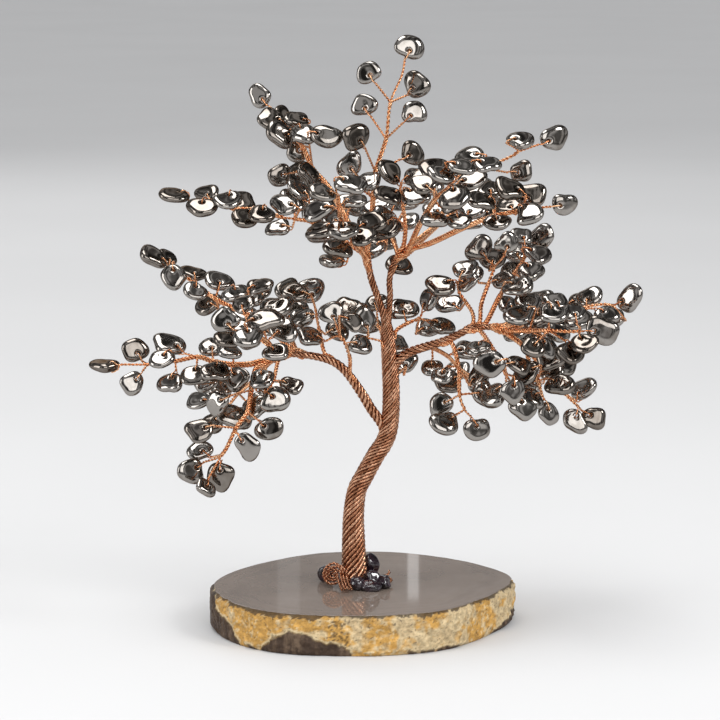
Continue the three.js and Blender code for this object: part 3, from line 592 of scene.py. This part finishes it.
def copper(tree, dark, middle, light):
    inputs = {0: attribute(tree, "tone"), 1: 0.5, 2: noise_texture(tree, 420, 4)}
    blend = add_node(tree, "Math", inputs, operation="MULTIPLY_ADD")
    return {"Metallic": 1.0,
            "Base Color": ramp(tree, blend.outputs[0], [(0.3, dark), (0.65, middle), (0.95, light)]),
            "Roughness": ranged(tree, noise_texture(tree, 1500, 2), 0.17, 0.33)}


def dark_stone(tree):
    cloud = noise_texture(tree, 260, 4)
    tints = [(0.3, (0.006, 0.004, 0.006)), (0.62, (0.022, 0.010, 0.018)), (0.85, (0.10, 0.05, 0.085))]
    return {"Base Color": ramp(tree, cloud, tints),
            "Roughness": ranged(tree, cloud, 0.04, 0.14),
            "IOR": 1.85}


def agate_top(tree):
    tints = [(0.25, (0.175, 0.136, 0.112)), (0.55, (0.220, 0.175, 0.146)), (0.8, (0.262, 0.214, 0.181))]
    bands = [(0.0, (0.62, 0.60, 0.60)), (0.5, (1.0, 1.0, 1.0)), (1.0, (0.84, 0.80, 0.76))]
    cloud = ramp(tree, noise_texture(tree, 26, 5, 0.55), tints)
    line = ramp(tree, attribute(tree, "band"), bands)
    return {"Base Color": multiplied(tree, cloud, line, 1.0),
            "Roughness": ranged(tree, noise_texture(tree, 220, 4), 0.025, 0.06),
            "IOR": 1.6}


def rind(tree):
    grain = noise_texture(tree, 1100, 5, 0.65)
    shades = [(0.25, (0.62, 0.58, 0.52)), (0.5, (1.0, 1.0, 1.0)), (0.75, (1.2, 1.18, 1.12))]
    return {"Base Color": multiplied(tree, attribute(tree, "rind", "Color"), ramp(tree, grain, shades), 0.75),
            "Roughness": ranged(tree, grain, 0.75, 0.35),
            "Normal": bumped(tree, grain, 0.8, 0.5 * MM),
            "Specular IOR Level": 0.25}


def floor_paint(tree):
    greys = [(0.3, (FLOOR_GREY * 0.97,) * 3), (0.7, (FLOOR_GREY,) * 3)]
    return {"Base Color": ramp(tree, noise_texture(tree, 3, 3), greys),
            "Roughness": 0.85,
            "Specular IOR Level": 0.15}


HEMATITE = make_material("hematite", hematite)
ROPE_COPPER = make_material("rope_copper", copper, (0.20, 0.070, 0.031), (0.41, 0.185, 0.100),
                            (0.62, 0.345, 0.215))
WIRE_COPPER = make_material("wire_copper", copper, (0.50, 0.185, 0.07), (0.80, 0.35, 0.16),
                            (0.92, 0.52, 0.29))
DARK_STONE = make_material("foot_stones", dark_stone)
AGATE_TOP = make_material("agate_polished", agate_top)
RIND = make_material("agate_rind", rind)


# ---- ropes

BODIES = frame["record"]["behaviour"]["bodies"]
JOINT_AT = {j["child"]: np.array(j["pos_m"]) for j in frame["joints"]}
ROPE_SIDES = 10
FEWEST_STRANDS = 5
LAY = 1.05  # a strand's turn is this many times the way round the rope, and 3 mm more
CORE_SHARE = 0.86  # the core's radius, as a share of the way to the strands' middles
FLARE = 1.13  # how much wider the trunk is at its foot
TAPER = 0.42  # how thin the trunk gets at its top
JOIN_ROUNDS = 48  # rounds of smoothing for a bough's path out of the trunk
ROOT_RUN = 22 * MM  # how far a bough's strands run down inside the trunk's
FLARE_RUN = 9 * MM  # the trunk widens over this much of its foot
TAPER_RUN = 11 * MM  # the trunk thins over this much of its top, where the crown's ropes take over


def smoothed(path, rounds):
    path = path.copy()
    for _ in range(rounds):
        path[1:-1] = 0.25 * path[:-2] + 0.5 * path[1:-1] + 0.25 * path[2:]
    return path


def nearest(path, point):
    return int(np.argmin(norms(path - point)))


def upstream(path, at, run):
    """Index of the point that lies a run before another on a path."""
    i = at
    while i > 0 and np.linalg.norm(path[i] - path[at]) < run:
        i -= 1
    return i


def build_rope(name, path, thick, phase):
    """A rope of copper strands laid round a core."""
    round_middle = 2 * math.pi * (thick.mean() - ROPE_WIRE)
    strands = max(int(round(round_middle / (STRAND_SPACING * ROPE_WIRE))), FEWEST_STRANDS)
    swell = strands / (2 * math.pi) * STRAND_SPACING
    strand = thick / (1 + swell)
    outer = thick - strand
    pitch = 2 * math.pi * outer * LAY + 3 * MM
    parts = Parts()
    # the core shows only in the gaps between the strands; its lowest tone paints shade there
    add_tube(parts, path, outer * CORE_SHARE, 12, 0.0)
    add_twist(parts, path, outer, strands, strand, pitch, ROPE_SIDES, phase, KNURL)
    obj = parts.build(name, ROPE_COPPER)
    return obj


def build_ropes():
    """The trunk and its four boughs. Returns each rope's path by its node's name."""
    paths = {}
    middles, radii = rings_of("trunk_rope", np.array([0, 0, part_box("trunk_rope")[0].z]))
    trunk, thick = resampled(np.vstack([middles[0] - (0, 0, 1.5 * MM), middles[1:]]), ROPE_STEP, radii)
    left = norms(trunk - trunk[-1])
    up = norms(trunk - trunk[0])
    flared = thick * np.interp(left, (0, TAPER_RUN), (TAPER, 1)) * np.interp(up, (0, FLARE_RUN), (FLARE, 1))
    obj = build_rope("trunk_strands", trunk, flared, 0.4)
    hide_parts("trunk_rope")
    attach(obj, "root")
    paths["trunk_rope"] = trunk
    for k, (body, joint) in enumerate(JOINT_AT.items()):
        node = body + "_rope"
        middles, radii = rings_of(node, joint)
        path, bough_thick = resampled(middles, ROPE_STEP, radii)
        at = nearest(trunk, path[0])
        start = upstream(trunk, at, ROOT_RUN)
        lead = trunk[start:max(at - 6, start + 8)]
        side = unit(path[0] - trunk[at])
        shift = np.linspace(0.2, 1.0, len(lead))[:, None] * side * max(thick[at] - 0.8 * bough_thick[0], 0)
        whole = smoothed(np.vstack([lead + shift, path]), JOIN_ROUNDS)
        whole_thick = np.concatenate([np.full(len(lead), bough_thick[0]), bough_thick])
        whole, whole_thick = resampled(whole, ROPE_STEP, whole_thick)
        obj = build_rope(body + "_strands", whole, whole_thick, 1.7 * k)
        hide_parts(node)
        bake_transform(obj)
        paths[node] = path
    return paths


# ---- sprigs

GROWS_ON = {"middle_left_outer_sprig": "middle_left_inner_sprig"}
FOOT_RUN = 6 * MM  # how far a sprig's wires run back along what they grow on
BACK_RUN = 1.5 * MM  # how far a branch's wires run back along its stem, at most
BUNDLE_GROWTH = 0.36  # a bundle's radius grows with this power of its number of pairs
OVERLAP = 1.02  # strands press into each other a little
STRANDS_SHOWN = ((3, 4, 6, 9), (2, 3, 3.999, 5))  # for so many pairs, the strands in a bundle, rounded down


def routes_from(root, junctions, links):
    """Shortest wire routes: each junction's previous one on its way from the root."""
    best = {root: 0.0}
    before = {}
    queue = [(0.0, root)]
    while queue:
        run, i = heapq.heappop(queue)
        if run > best[i]:
            continue
        for j in links[i]:
            there = run + float(np.linalg.norm(junctions[i] - junctions[j]))
            if there < best.get(j, math.inf):
                best[j] = there
                before[j] = i
                heapq.heappush(queue, (there, j))
    return before


def add_bundle(parts, path, pairs):
    """A stretch of wires for some twisted pairs."""
    whole = 2 * WIRE * pairs ** BUNDLE_GROWTH
    outer = int(np.interp(pairs, *STRANDS_SHOWN))
    strand = OVERLAP * whole / (1 + 1 / math.sin(math.pi / outer))
    centre = whole - strand
    pitch = PAIR_PITCH + 2.2 * math.pi * (centre - WIRE)
    if outer > 3:
        # the core shows only in the gaps between the strands; its lowest tone paints shade there
        add_tube(parts, path, centre * 0.75, 8, 0.0)
    add_twist(parts, path, centre, outer, strand, pitch, 6, rng.uniform(0, 6))


def wire_chains(root, before, chips):
    """Splits a sprig's wires into smooth runs: lists of junctions, with the pairs in each gap."""
    pairs = {}
    after = {}
    for chip in chips:
        i = chip["entry"]
        while i != root and i in before:
            pairs[i] = pairs.get(i, 0) + 1
            after.setdefault(before[i], set()).add(i)
            i = before[i]
    chains = []
    starts = [(root, None)]
    while starts:
        start, first = starts.pop()
        chain, counts = [start], []
        onward = [first] if first is not None else sorted(after.get(start, ()), key=lambda j: -pairs[j])
        while onward:
            if first is None:
                starts += [(chain[-1], j) for j in onward[1:]]
            first = None
            counts.append(pairs[onward[0]])
            chain.append(onward[0])
            onward = sorted(after.get(chain[-1], ()), key=lambda j: -pairs[j])
        if counts:
            chains.append((chain, counts))
    return chains


def build_sprig(node, host):
    """Chips and wires of one sprig, growing on a host path. Returns the points of its main stem."""
    chips, junctions, links = read_sprig(node)
    gaps = norms(junctions[:, None] - host[None])
    root = int(np.argmin(gaps.min(axis=1)))
    foot_at = int(np.argmin(gaps[root]))
    foot = host[upstream(host, foot_at, FOOT_RUN)]
    before = routes_from(root, junctions, links)
    chains = wire_chains(root, before, chips)
    wires, stones = Parts(), Parts()
    ends = {}
    for chip in chips:
        towards = junctions[chip["entry"]]
        loop, knot = build_chip(stones, chip, towards)
        ends[chip["entry"]] = (loop, knot)
        add_tube(wires, resampled(loop, STEP), WIRE, 6, rng.uniform(0, 1))
    for chain, counts in chains:
        points = [junctions[i] for i in chain]
        if chain[0] == root:
            points = [foot, (foot + points[0]) / 2 + (points[0] - host[foot_at]) * 0.2] + points
            counts = [counts[0]] * 2 + counts
        elif chain[0] in before:
            back = junctions[before[chain[0]]]
            back = points[0] + unit(back - points[0]) * min(BACK_RUN, np.linalg.norm(back - points[0]) * 0.6)
            points = [back] + points
            counts = [counts[0]] + counts
        if chain[-1] in ends:
            points[-1] = ends[chain[-1]][1]
        points, counts = thinned(points, counts)
        path, where = spline_with_marks(points)
        i = 0
        while i < len(counts):
            j = i
            while j + 1 < len(counts) and counts[j + 1] == counts[i]:
                j += 1
            first = max(where[i] - 2, 0)
            last = min(where[j + 1] + 2, len(path) - 1)
            if last - first >= 2:
                add_bundle(wires, path[first:last + 1], counts[i])
            i = j + 1
    body = frame["nodes"][node]["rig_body"]
    name = node.replace("_sprig", "")
    chips_object = stones.build(name + "_chips", HEMATITE)
    wires_object = wires.build(name + "_wires", WIRE_COPPER)
    for obj, slot in ((chips_object, "hematite_chips"), (wires_object, "copper_wire")):
        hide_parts(node)
        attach(obj, body)
    main = max(chains, key=lambda c: len(c[0]))[0]
    return resampled([junctions[i] for i in main], STEP)


def thinned(points, counts):
    """Leaves out points that are closer than a millimetre to the one before."""
    kept, gaps = [points[0]], []
    for point, count in zip(points[1:-1], counts[:-1]):
        if np.linalg.norm(point - kept[-1]) > 1.0 * MM:
            kept.append(point)
            gaps.append(count)
    kept.append(points[-1])
    gaps.append(counts[-1])
    return kept, gaps


def spline_with_marks(points):
    """A smooth path through points, and the index on it of each point."""
    path = resampled(points, STEP)
    marks = [0]
    for point in points[1:-1]:
        near = norms(path[marks[-1]:] - point)
        marks.append(marks[-1] + int(np.argmin(near)))
    return path, marks + [len(path) - 1]


def build_sprigs(paths):
    """Builds every sprig on its body's rope, or on the sprig it grows on."""
    stems = {}
    for body, nodes in BODIES.items():
        host = paths["trunk_rope" if body == "root" else body + "_rope"]
        for node in sorted(nodes, key=lambda n: (n in GROWS_ON, n)):
            if node.endswith("_sprig"):
                stems[node] = build_sprig(node, stems[GROWS_ON[node]] if node in GROWS_ON else host)


# ---- slice

SPOKES = 720
TOP_ROWS = 40
SIDE_ROWS = 48
RIM_BEVEL = 0.14 * MM  # rounding of the polished top's edge
EDGE_ROUND = 30 * MM  # the edge's wobble and nicks are read off a circle of this radius
NICK_DEPTH = 3.2 * MM  # scales the nicks in the front of the edge
ROUGH_DEPTH = 3.2 * MM  # the most that the rind's lumps vary in height
FINE_DEPTH = 1.9 * MM  # the most that its crystals vary in height


def slice_reach():
    """The slice's middle, its height, and its edge's reach as a function of angle and height."""
    corners, _ = welded("agate_slice")
    heights = np.unique(np.round(corners[:, 2], 5))
    middle = (corners[:, :2].max(axis=0) + corners[:, :2].min(axis=0)) / 2
    rings = []
    for z in heights:
        ring = corners[np.abs(corners[:, 2] - z) < 1e-5][:, :2] - middle
        angle = np.arctan2(ring[:, 1], ring[:, 0])
        order = np.argsort(angle)
        rings.append((angle[order], np.hypot(*ring[order].T)))

    def reach(angle, z):
        values = np.array([np.interp(angle, a, r, period=2 * math.pi) for a, r in rings])
        at = np.interp(z, heights, np.arange(len(heights)))
        low = np.clip(np.floor(at).astype(int), 0, len(heights) - 2)
        share = at - low
        each = np.arange(len(angle))
        return values[low, each] * (1 - share) + values[low + 1, each] * share

    return middle, heights[-1], reach


def smoothed_ring(values, rounds):
    for _ in range(rounds):
        values = 0.25 * np.roll(values, 1) + 0.5 * values + 0.25 * np.roll(values, -1)
    return values


def build_slice():
    """The agate slice: a polished top with faint bands, and the rough rind round and under it."""
    middle, top, reach = slice_reach()
    angle = np.linspace(-math.pi, math.pi, SPOKES, endpoint=False)
    spokes = np.stack([np.cos(angle), np.sin(angle)], axis=1)
    edge = smoothed_ring(reach(angle, np.full(SPOKES, top)), 6)
    places = np.column_stack([spokes * EDGE_ROUND, np.zeros(SPOKES)])
    wobble = layered_noise(places, 7 * MM, 3, 3) - 0.5
    nicks = layered_noise(places, 1.1 * MM, 5, 2)
    front = np.clip(0.35 - np.sin(angle), 0, 1)
    edge = edge + wobble * 1.4 * MM - 0.4 * MM - np.clip(nicks - 0.5, 0, 1) * front * NICK_DEPTH

    def ring_at(reach_there, z):
        return np.column_stack([middle + spokes * reach_there[:, None], np.full(SPOKES, z)])

    rows = []
    shares = np.linspace(0.02, 1, TOP_ROWS) ** 0.8
    for share in np.append(shares[:-1], (0.999, 1.0)):
        rows.append(ring_at((edge - RIM_BEVEL) * share, top))
    for turn in (0.35, 0.7, 1.0):
        drop = RIM_BEVEL * (1 - math.cos(turn * math.pi / 2))
        out = edge - RIM_BEVEL * (1 - math.sin(turn * math.pi / 2))
        rows.append(ring_at(out, top - drop))
    polished = np.vstack(rows)
    around = np.arange(SPOKES)
    obj = make_object("agate_polished_top", polished, grid_faces(len(rows), SPOKES), AGATE_TOP)
    close_rings(obj, (around, around[::-1] + len(polished) - SPOKES))
    radius = np.hypot(*(polished[:, :2] - middle).T)
    direction = np.arctan2(*(polished[:, :2] - middle).T[::-1])
    share_out = radius / np.interp(direction, angle, edge, period=2 * math.pi)
    band = layered_noise(polished, 26 * MM, 11, 4) * 0.5 + share_out ** 2 * 0.6
    stripes = 0.5 + 0.5 * np.sin(band * 34)
    value = np.clip(0.5 + (stripes - 0.5) * 0.35 * share_out ** 3, 0, 1)
    obj.data.attributes.new("band", "FLOAT", "POINT").data.foreach_set("value", value.astype(np.float32))
    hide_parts("agate_slice")
    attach(obj, "root")

    side = []
    heights = np.linspace(top - RIM_BEVEL, 0, SIDE_ROWS)
    for z in heights:
        out = smoothed_ring(reach(angle, np.full(SPOKES, z)), 4)
        blend = np.clip((top - RIM_BEVEL - z) / (1.5 * MM), 0, 1)
        side.append(ring_at(edge * (1 - blend) + out * blend, z))
    side = np.vstack(side)
    rough = layered_noise(side, 6 * MM, 21, 5) - 0.5
    fine = layered_noise(side, 1.6 * MM, 31, 3) - 0.5
    depth = np.clip((top - side[:, 2]) / (2 * MM), 0, 1) * np.clip(side[:, 2] / (1.5 * MM), 0.25, 1)
    outward = np.column_stack([np.tile(spokes, (SIDE_ROWS, 1)), np.zeros(len(side))])
    where = np.degrees(np.tile(angle, SIDE_ROWS))
    calm = np.clip(window(where, -190, -160, 6) + window(where, 125, 190, 9), 0, 1)
    grit = (rough * ROUGH_DEPTH + fine * FINE_DEPTH - 0.9 * MM) * (1 - 0.75 * calm)
    side += outward * (grit * depth)[:, None]
    side[:, 2] = np.clip(side[:, 2] + (fine * 0.6 * MM) * depth, 0, top)
    under = [np.column_stack([middle + (side[-SPOKES:, :2] - middle) * share, np.zeros(SPOKES)])
             for share in (0.96, 0.7, 0.35, 0.02)]
    corners = np.vstack([side] + under)
    skin = make_object("agate_rind", corners, grid_faces(SIDE_ROWS + len(under), SPOKES), RIND)
    paint_rind(skin, corners, np.tile(angle, SIDE_ROWS + len(under)), top)
    close_rings(skin, (around, around[::-1] + len(corners) - SPOKES))
    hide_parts("agate_slice")
    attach(skin, "root")


def grid_faces(rows, sides):
    """Faces of rings of corners that run from the middle of the top outward, or on down."""
    return tube_faces(rows, sides)[:, ::-1]


def close_rings(obj, rings):
    """Closes a mesh with one flat face over each ring of corners."""
    shape = bmesh.new()
    shape.from_mesh(obj.data)
    shape.verts.ensure_lookup_table()
    for ring in rings:
        shape.faces.new([shape.verts[int(i)] for i in ring])
    shape.to_mesh(obj.data)
    shape.free()


def mixed(a, b, share):
    return a * (1 - share[:, None]) + b * share[:, None]


def window(value, low, high, soft):
    """1 between low and high, 0 outside, with soft ends."""
    return np.clip((value - low) / soft, 0, 1) * np.clip((high - value) / soft, 0, 1)


# how high the brown skin reaches on the rind, as (direction in degrees, share of the height)
BROWN_UP_TO = ((-180, 1.0), (-165, 1.0), (-158, 0.75), (-150, 0.55), (-143, 0.25), (-138, 0.0), (-130, 0.0),
               (-124, 0.36), (-117, 0.56), (-110, 0.42), (-104, 0.28), (-98, 0.30), (-93, 0.0), (-28, 0.0),
               (-8, 0.22), (12, 0.30), (40, 0.05), (75, 0.35), (110, 0.5), (135, 1.0), (180, 1.0))
OCHRE = (0.53, 0.30, 0.078)
CREAM = (0.63, 0.50, 0.30)
PALE = (0.54, 0.41, 0.235)
SKIN = (0.054, 0.032, 0.020)
STREAK = (0.14, 0.093, 0.060)
# DARK also paints the shade under the polished top's lip
DARK = (0.030, 0.020, 0.014)


def paint_rind(obj, corners, angle, top):
    """Colours of the rind: ochre crystal with cream borders over a brown, streaky skin, darkened just under
    the top's lip as painted shade.
    """
    count = len(corners)
    z = corners[:, 2]
    degrees = np.degrees(angle)
    flatter = corners * (0.8, 0.8, 1)
    patch = layered_noise(corners, 8 * MM, 41, 4)
    grain = layered_noise(flatter, 1.3 * MM, 51, 3)
    blotch = layered_noise(flatter, 6 * MM, 55, 3)
    spots = layered_noise(flatter, 2.6 * MM, 57, 2)
    crystals = layered_noise(flatter, 1.0 * MM, 67, 2)
    speck = layered_noise(corners, 0.8 * MM, 61, 2)
    streaks = layered_noise(np.column_stack([corners[:, :2], z * 0.1]), 1.5 * MM, 71, 3)
    ochre, cream, pale, skin, streak, dark = (np.tile(tint, (count, 1)) for tint in
                                              (OCHRE, CREAM, PALE, SKIN, STREAK, DARK))
    rough_place = degrees + (patch - 0.5) * 30
    golden = (window(rough_place, -172, -97, 6) + 0.75 * window(rough_place, -92, -78, 5)
              + 0.9 * window(rough_place, -48, -28, 6) + window(degrees, 20, 130, 20))
    level = blotch * 0.7 + spots * 0.3 + 0.22 * np.clip(golden, 0, 1)
    colour = mixed(pale, ochre, np.clip((level - 0.51) * 9, 0, 1))
    colour = mixed(colour, cream, np.exp(-((level - 0.50) / 0.04) ** 2) * 0.7)
    colour = mixed(colour, cream, np.clip((crystals - 0.60) * 8, 0, 1) * 0.75)
    colour = colour * (0.45 + 1.05 * grain[:, None])

    skin_share = np.interp(degrees, *np.transpose(BROWN_UP_TO))
    line = top * (skin_share + (patch - 0.5) * 0.35 + (grain - 0.5) * 0.08)
    skinned = line > 0.05 * top
    low_skin = np.clip((line - z) / (0.4 * MM), 0, 1) * skinned
    colour = mixed(colour, cream, np.exp(-((z - line - 0.7 * MM) / (0.7 * MM)) ** 2) * skinned)
    colour = mixed(colour, dark, np.exp(-((z - line) / (0.35 * MM)) ** 2) * skinned * 0.7)
    colour = mixed(colour, mixed(skin, streak, np.clip((streaks - 0.45) * 4, 0, 1)), low_skin)
    # painted shade: the rind just under the polished top's lip is darkened
    under_lip_shade = z - top + 1.3 * MM + (patch - 0.5) * 3.5 * MM + (grain - 0.5) * 3 * MM
    colour = mixed(colour, dark, np.clip(under_lip_shade / (0.3 * MM), 0, 1) * 0.85)
    crack = window(degrees + (grain - 0.5) * 5, -103, -95, 1.5)
    pits = np.clip((0.31 + 0.18 * crack - speck) * 9, 0, 1) * (1 - low_skin)
    colour = mixed(colour, dark, pits * 0.7)
    paint = np.column_stack([np.clip(colour, 0, 1), np.ones(count)]).astype(np.float32)
    obj.data.color_attributes.new("rind", "FLOAT_COLOR", "POINT").data.foreach_set("color", paint.ravel())


# ---- foot of the tree

STONE_SHARPNESS = 13  # higher makes a stone's flats meet in sharper edges
STONE_FLATS = 11
STONE_FIT = 1.5  # a stone is drawn about this much larger than its CAD block
CROOK_WIRES = 4  # twisted pairs side by side in the band
CROOK_WIRE = 0.60 * MM
CROOK_SPACING = 1.32 * MM
CROOK_POINTS = 40
CROOK_DOME = np.array((-1.2, -0.3, 0.7, 1.7)) * MM  # how far each pair stands forward at the coil's end
CROOK_RING_SHIFT = np.array((-0.3, -3.5, -3.0)) * MM
CROOK_LEAN = (0, 0.45, 0.89)  # the way up in the coil, which leans back a little
CURL_WIRE = 0.5 * MM
CURL_POINTS = 60
LEFT_STONE_SHIFT = np.array((2.4, 0.6, 0.4)) * MM  # it is tucked in behind the coil
STONE_PLACES = ("upright", "front", "middle", "low", "right", "left", "behind")


def tumbled_stone(centre, axes, half):
    """A worn stone: a ball cut by soft flats, on a grid of rows and columns."""
    rows, sides = 30, 48
    tilt = np.linspace(0.02, math.pi - 0.02, rows)[:, None]
    turn = np.linspace(0, -2 * math.pi, sides, endpoint=False)[None]
    flat_way = [np.sin(tilt) * np.cos(turn), np.sin(tilt) * np.sin(turn), np.cos(tilt) + 0 * turn]
    way = np.stack(flat_way, axis=-1).reshape(-1, 3)
    flats = unit(rng.normal(size=(STONE_FLATS, 3)))
    depth = rng.uniform(0.72, 1.0, STONE_FLATS)
    cut = np.clip(way @ flats.T, 0, None) / depth
    reach = (np.sum(cut ** STONE_SHARPNESS, axis=1) + 0.82 ** STONE_SHARPNESS) ** (-1 / STONE_SHARPNESS)
    reach *= 1 + 0.10 * (layered_noise(way, 0.6, int(rng.integers(100)), 3) - 0.5)
    world = centre + (way * reach[:, None] * half) @ axes
    return capped(world, tube_faces(rows, sides), rows, sides)


def build_foot():
    """The stones, the crook and the curl round the foot of the trunk."""
    for node in ("foot_stone_" + place for place in STONE_PLACES):
        corners, _ = welded(node)
        centre, axes, half = chip_from(corners)
        if node == "foot_stone_left":
            centre = centre + LEFT_STONE_SHIFT
        parts = Parts()
        parts.add(*tumbled_stone(centre, axes, half * STONE_FIT), 0.5)
        obj = parts.build(node.replace("foot_stone", "foot_pebble"), DARK_STONE)
        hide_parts(node)
        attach(obj, "root")
    for name, build in (("foot_crook", crook_wires), ("foot_curl", curl_wires)):
        obj = build().build(name + "_wires", ROPE_COPPER)
        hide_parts(name)
        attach(obj, "root")


def crook_wires():
    """A band of twisted pairs down the front of the foot, which curls over into a coil at the left."""
    middles, _ = rings_of("foot_crook", np.array(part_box("foot_crook")[1]))
    run = middles if middles[0][1] < middles[-1][1] else middles[::-1]
    centre = run[-1] + CROOK_RING_SHIFT
    turn = np.radians(np.linspace(-8, 318, CROOK_POINTS))
    tighten = np.linspace(1.0, 0.62, CROOK_POINTS)
    parts = Parts()
    for k in range(CROOK_WIRES):
        reach = (k + 0.95) * CROOK_SPACING * tighten
        out = reach[0] - 0.5 * (CROOK_WIRES + 1) * CROOK_SPACING
        ring = centre + np.outer(np.cos(turn) * reach, (1, 0, 0)) + np.outer(np.sin(turn) * reach, CROOK_LEAN)
        ring = ring - np.outer(np.linspace(0, 1, CROOK_POINTS) * CROOK_DOME[k], (0, 1, 0))
        ring = ring + (layered_noise(ring + k, 2.6 * MM, 90 + k, 2)[:, None] - 0.5) * 0.9 * MM
        foot = run[0] + np.array((out, out * 0.3, 0))
        half = (foot + ring[0]) / 2 + np.array((0, 0, -0.6 * MM))
        path = smoothed(resampled(np.vstack([foot, half, ring]), 0.35 * MM), 6)
        add_twist(parts, path, CROOK_WIRE * 0.52, 2, CROOK_WIRE * 0.55, PAIR_PITCH, ROPE_SIDES, k)
    return parts


def curl_wires():
    """The tip of a wire that sticks out of the stones and curls round."""
    low, high = (np.array(c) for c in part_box("foot_curl"))
    middle, reach = (low + high) / 2, (high - low)[0] / 2 - CURL_WIRE
    turn = np.linspace(-0.4, 2.2, CURL_POINTS) * math.pi
    shrink = np.linspace(1.0, 0.45, CURL_POINTS)
    rise = np.linspace(-1, 1, CURL_POINTS) * ((high - low)[2] / 2 - CURL_WIRE)
    path = middle + np.column_stack([np.cos(turn) * reach * shrink, np.sin(turn) * reach * shrink, rise])
    parts = Parts()
    add_twist(parts, path, CURL_WIRE * 0.5, 2, CURL_WIRE * 0.6, PAIR_PITCH, ROPE_SIDES)
    return parts


ROPE_PATHS = build_ropes()
build_sprigs(ROPE_PATHS)
build_slice()
build_foot()


# ---- floor, light and camera

VIEW_TARGET = (-0.0014, 0.0, 0.1066)
VIEW_DISTANCE = 1.28
VIEW_DOWN = math.radians(8.7)
LENS = 160.0
SENSOR = 36.0
FLOOR_RINGS = (9.0, 2.0, 0.5, 0.001)
FLOOR_SIDES = 96
TREE = (0, 0, 0.12)
STRIP_FOOT = 0.1945  # height of the strips' lower ends
# faint strips of light behind the tree for the slice's top to reflect: (side, width, height, watts)
STRIPS = ((0.037, 0.008, 0.058, 0.0009), (-0.053, 0.016, 0.075, 0.0013), (0.0, 0.34, 0.075, 0.018))


def build_floor():
    angle = circle(FLOOR_SIDES)
    spokes = np.column_stack([np.cos(angle), np.sin(angle), np.zeros(FLOOR_SIDES)])
    corners = np.vstack([spokes * radius for radius in FLOOR_RINGS])
    faces = tube_faces(len(FLOOR_RINGS), FLOOR_SIDES)
    floor = make_object("floor", corners, faces, make_material("floor", floor_paint))


def build_world():
    """An even pale studio that the shiny parts see as soft light and dark patches."""
    world = bpy.data.worlds.new("studio")
    bpy.context.scene.world = world
    world.use_nodes = True
    tree = world.node_tree
    around = add_node(tree, "TexCoord", {}).outputs["Generated"]
    depth = add_node(tree, "TexNoise", {"Vector": around, "Scale": 2.3, "Detail": 1.0})
    bands = add_node(tree, "TexWave", {"Vector": around, "Scale": 1.7, "Distortion": 1.2, "Detail": 0.0})
    inputs = {0: bands.outputs["Fac"], 1: 0.16, 2: depth.outputs["Fac"]}
    blend = add_node(tree, "Math", inputs, operation="MULTIPLY_ADD")
    last = ramp(tree, blend.outputs[0], [(0.43, (0.036, 0.035, 0.034)), (0.52, (0.13, 0.128, 0.126)),
                                         (0.62, (0.20, 0.198, 0.196)), (0.69, (0.66, 0.66, 0.67))])
    rays = add_node(tree, "LightPath", {}).outputs
    for ray, pale in (("Is Diffuse Ray", 0.80), ("Is Camera Ray", 0.70)):
        inputs = {"Factor": rays[ray], "A": last, "B": (pale, pale * 1.005, pale * 1.02, 1)}
        last = add_node(tree, "Mix", inputs, data_type="RGBA").outputs["Result"]
    feed(tree, tree.nodes["Background"], {"Color": last})


def add_light(name, place, target, width, height, watts):
    """A soft rectangular lamp that faces a target."""
    lamp = bpy.data.lights.new(name, "AREA")
    lamp.shape = "RECTANGLE"
    lamp.size, lamp.size_y = width, height
    lamp.energy = watts
    obj = bpy.data.objects.new(name, lamp)
    bpy.context.scene.collection.objects.link(obj)
    obj.location = place
    away = np.array(place) - np.array(target)
    obj.rotation_euler = Vector(away).to_track_quat("Z", "Y").to_euler()
    return obj


def build_camera():
    data = bpy.data.cameras.new("camera")
    data.lens = LENS
    data.sensor_width = SENSOR
    camera = bpy.data.objects.new("camera", data)
    bpy.context.scene.collection.objects.link(camera)
    away = Vector((0, -math.cos(VIEW_DOWN), math.sin(VIEW_DOWN)))
    camera.location = Vector(VIEW_TARGET) + away * VIEW_DISTANCE
    camera.rotation_euler = away.to_track_quat("Z", "Y").to_euler()
    bpy.context.scene.camera = camera


build_floor()
build_world()
add_light("front", (0.35, -1.75, 0.95), TREE, 1.3, 1.0, 10)
add_light("key", (0.95, -0.6, 0.9), TREE, 0.35, 0.35, 5.4)
add_light("top", (-0.2, -0.1, 1.3), TREE, 0.9, 0.5, 8)
add_light("fill", (-1.2, -0.55, 0.5), TREE, 0.4, 0.9, 4.5)
add_light("behind", (-0.5, 1.7, 1.0), TREE, 1.2, 0.9, 5)
for side, width, height, watts in STRIPS:
    strip = add_light("strip", (side, 1.0, STRIP_FOOT + height / 2), (side, 0.0, 0.01), width, height, watts)
    strip.visible_camera = False
build_camera()
bpy.context.scene.view_settings.view_transform = "Standard"
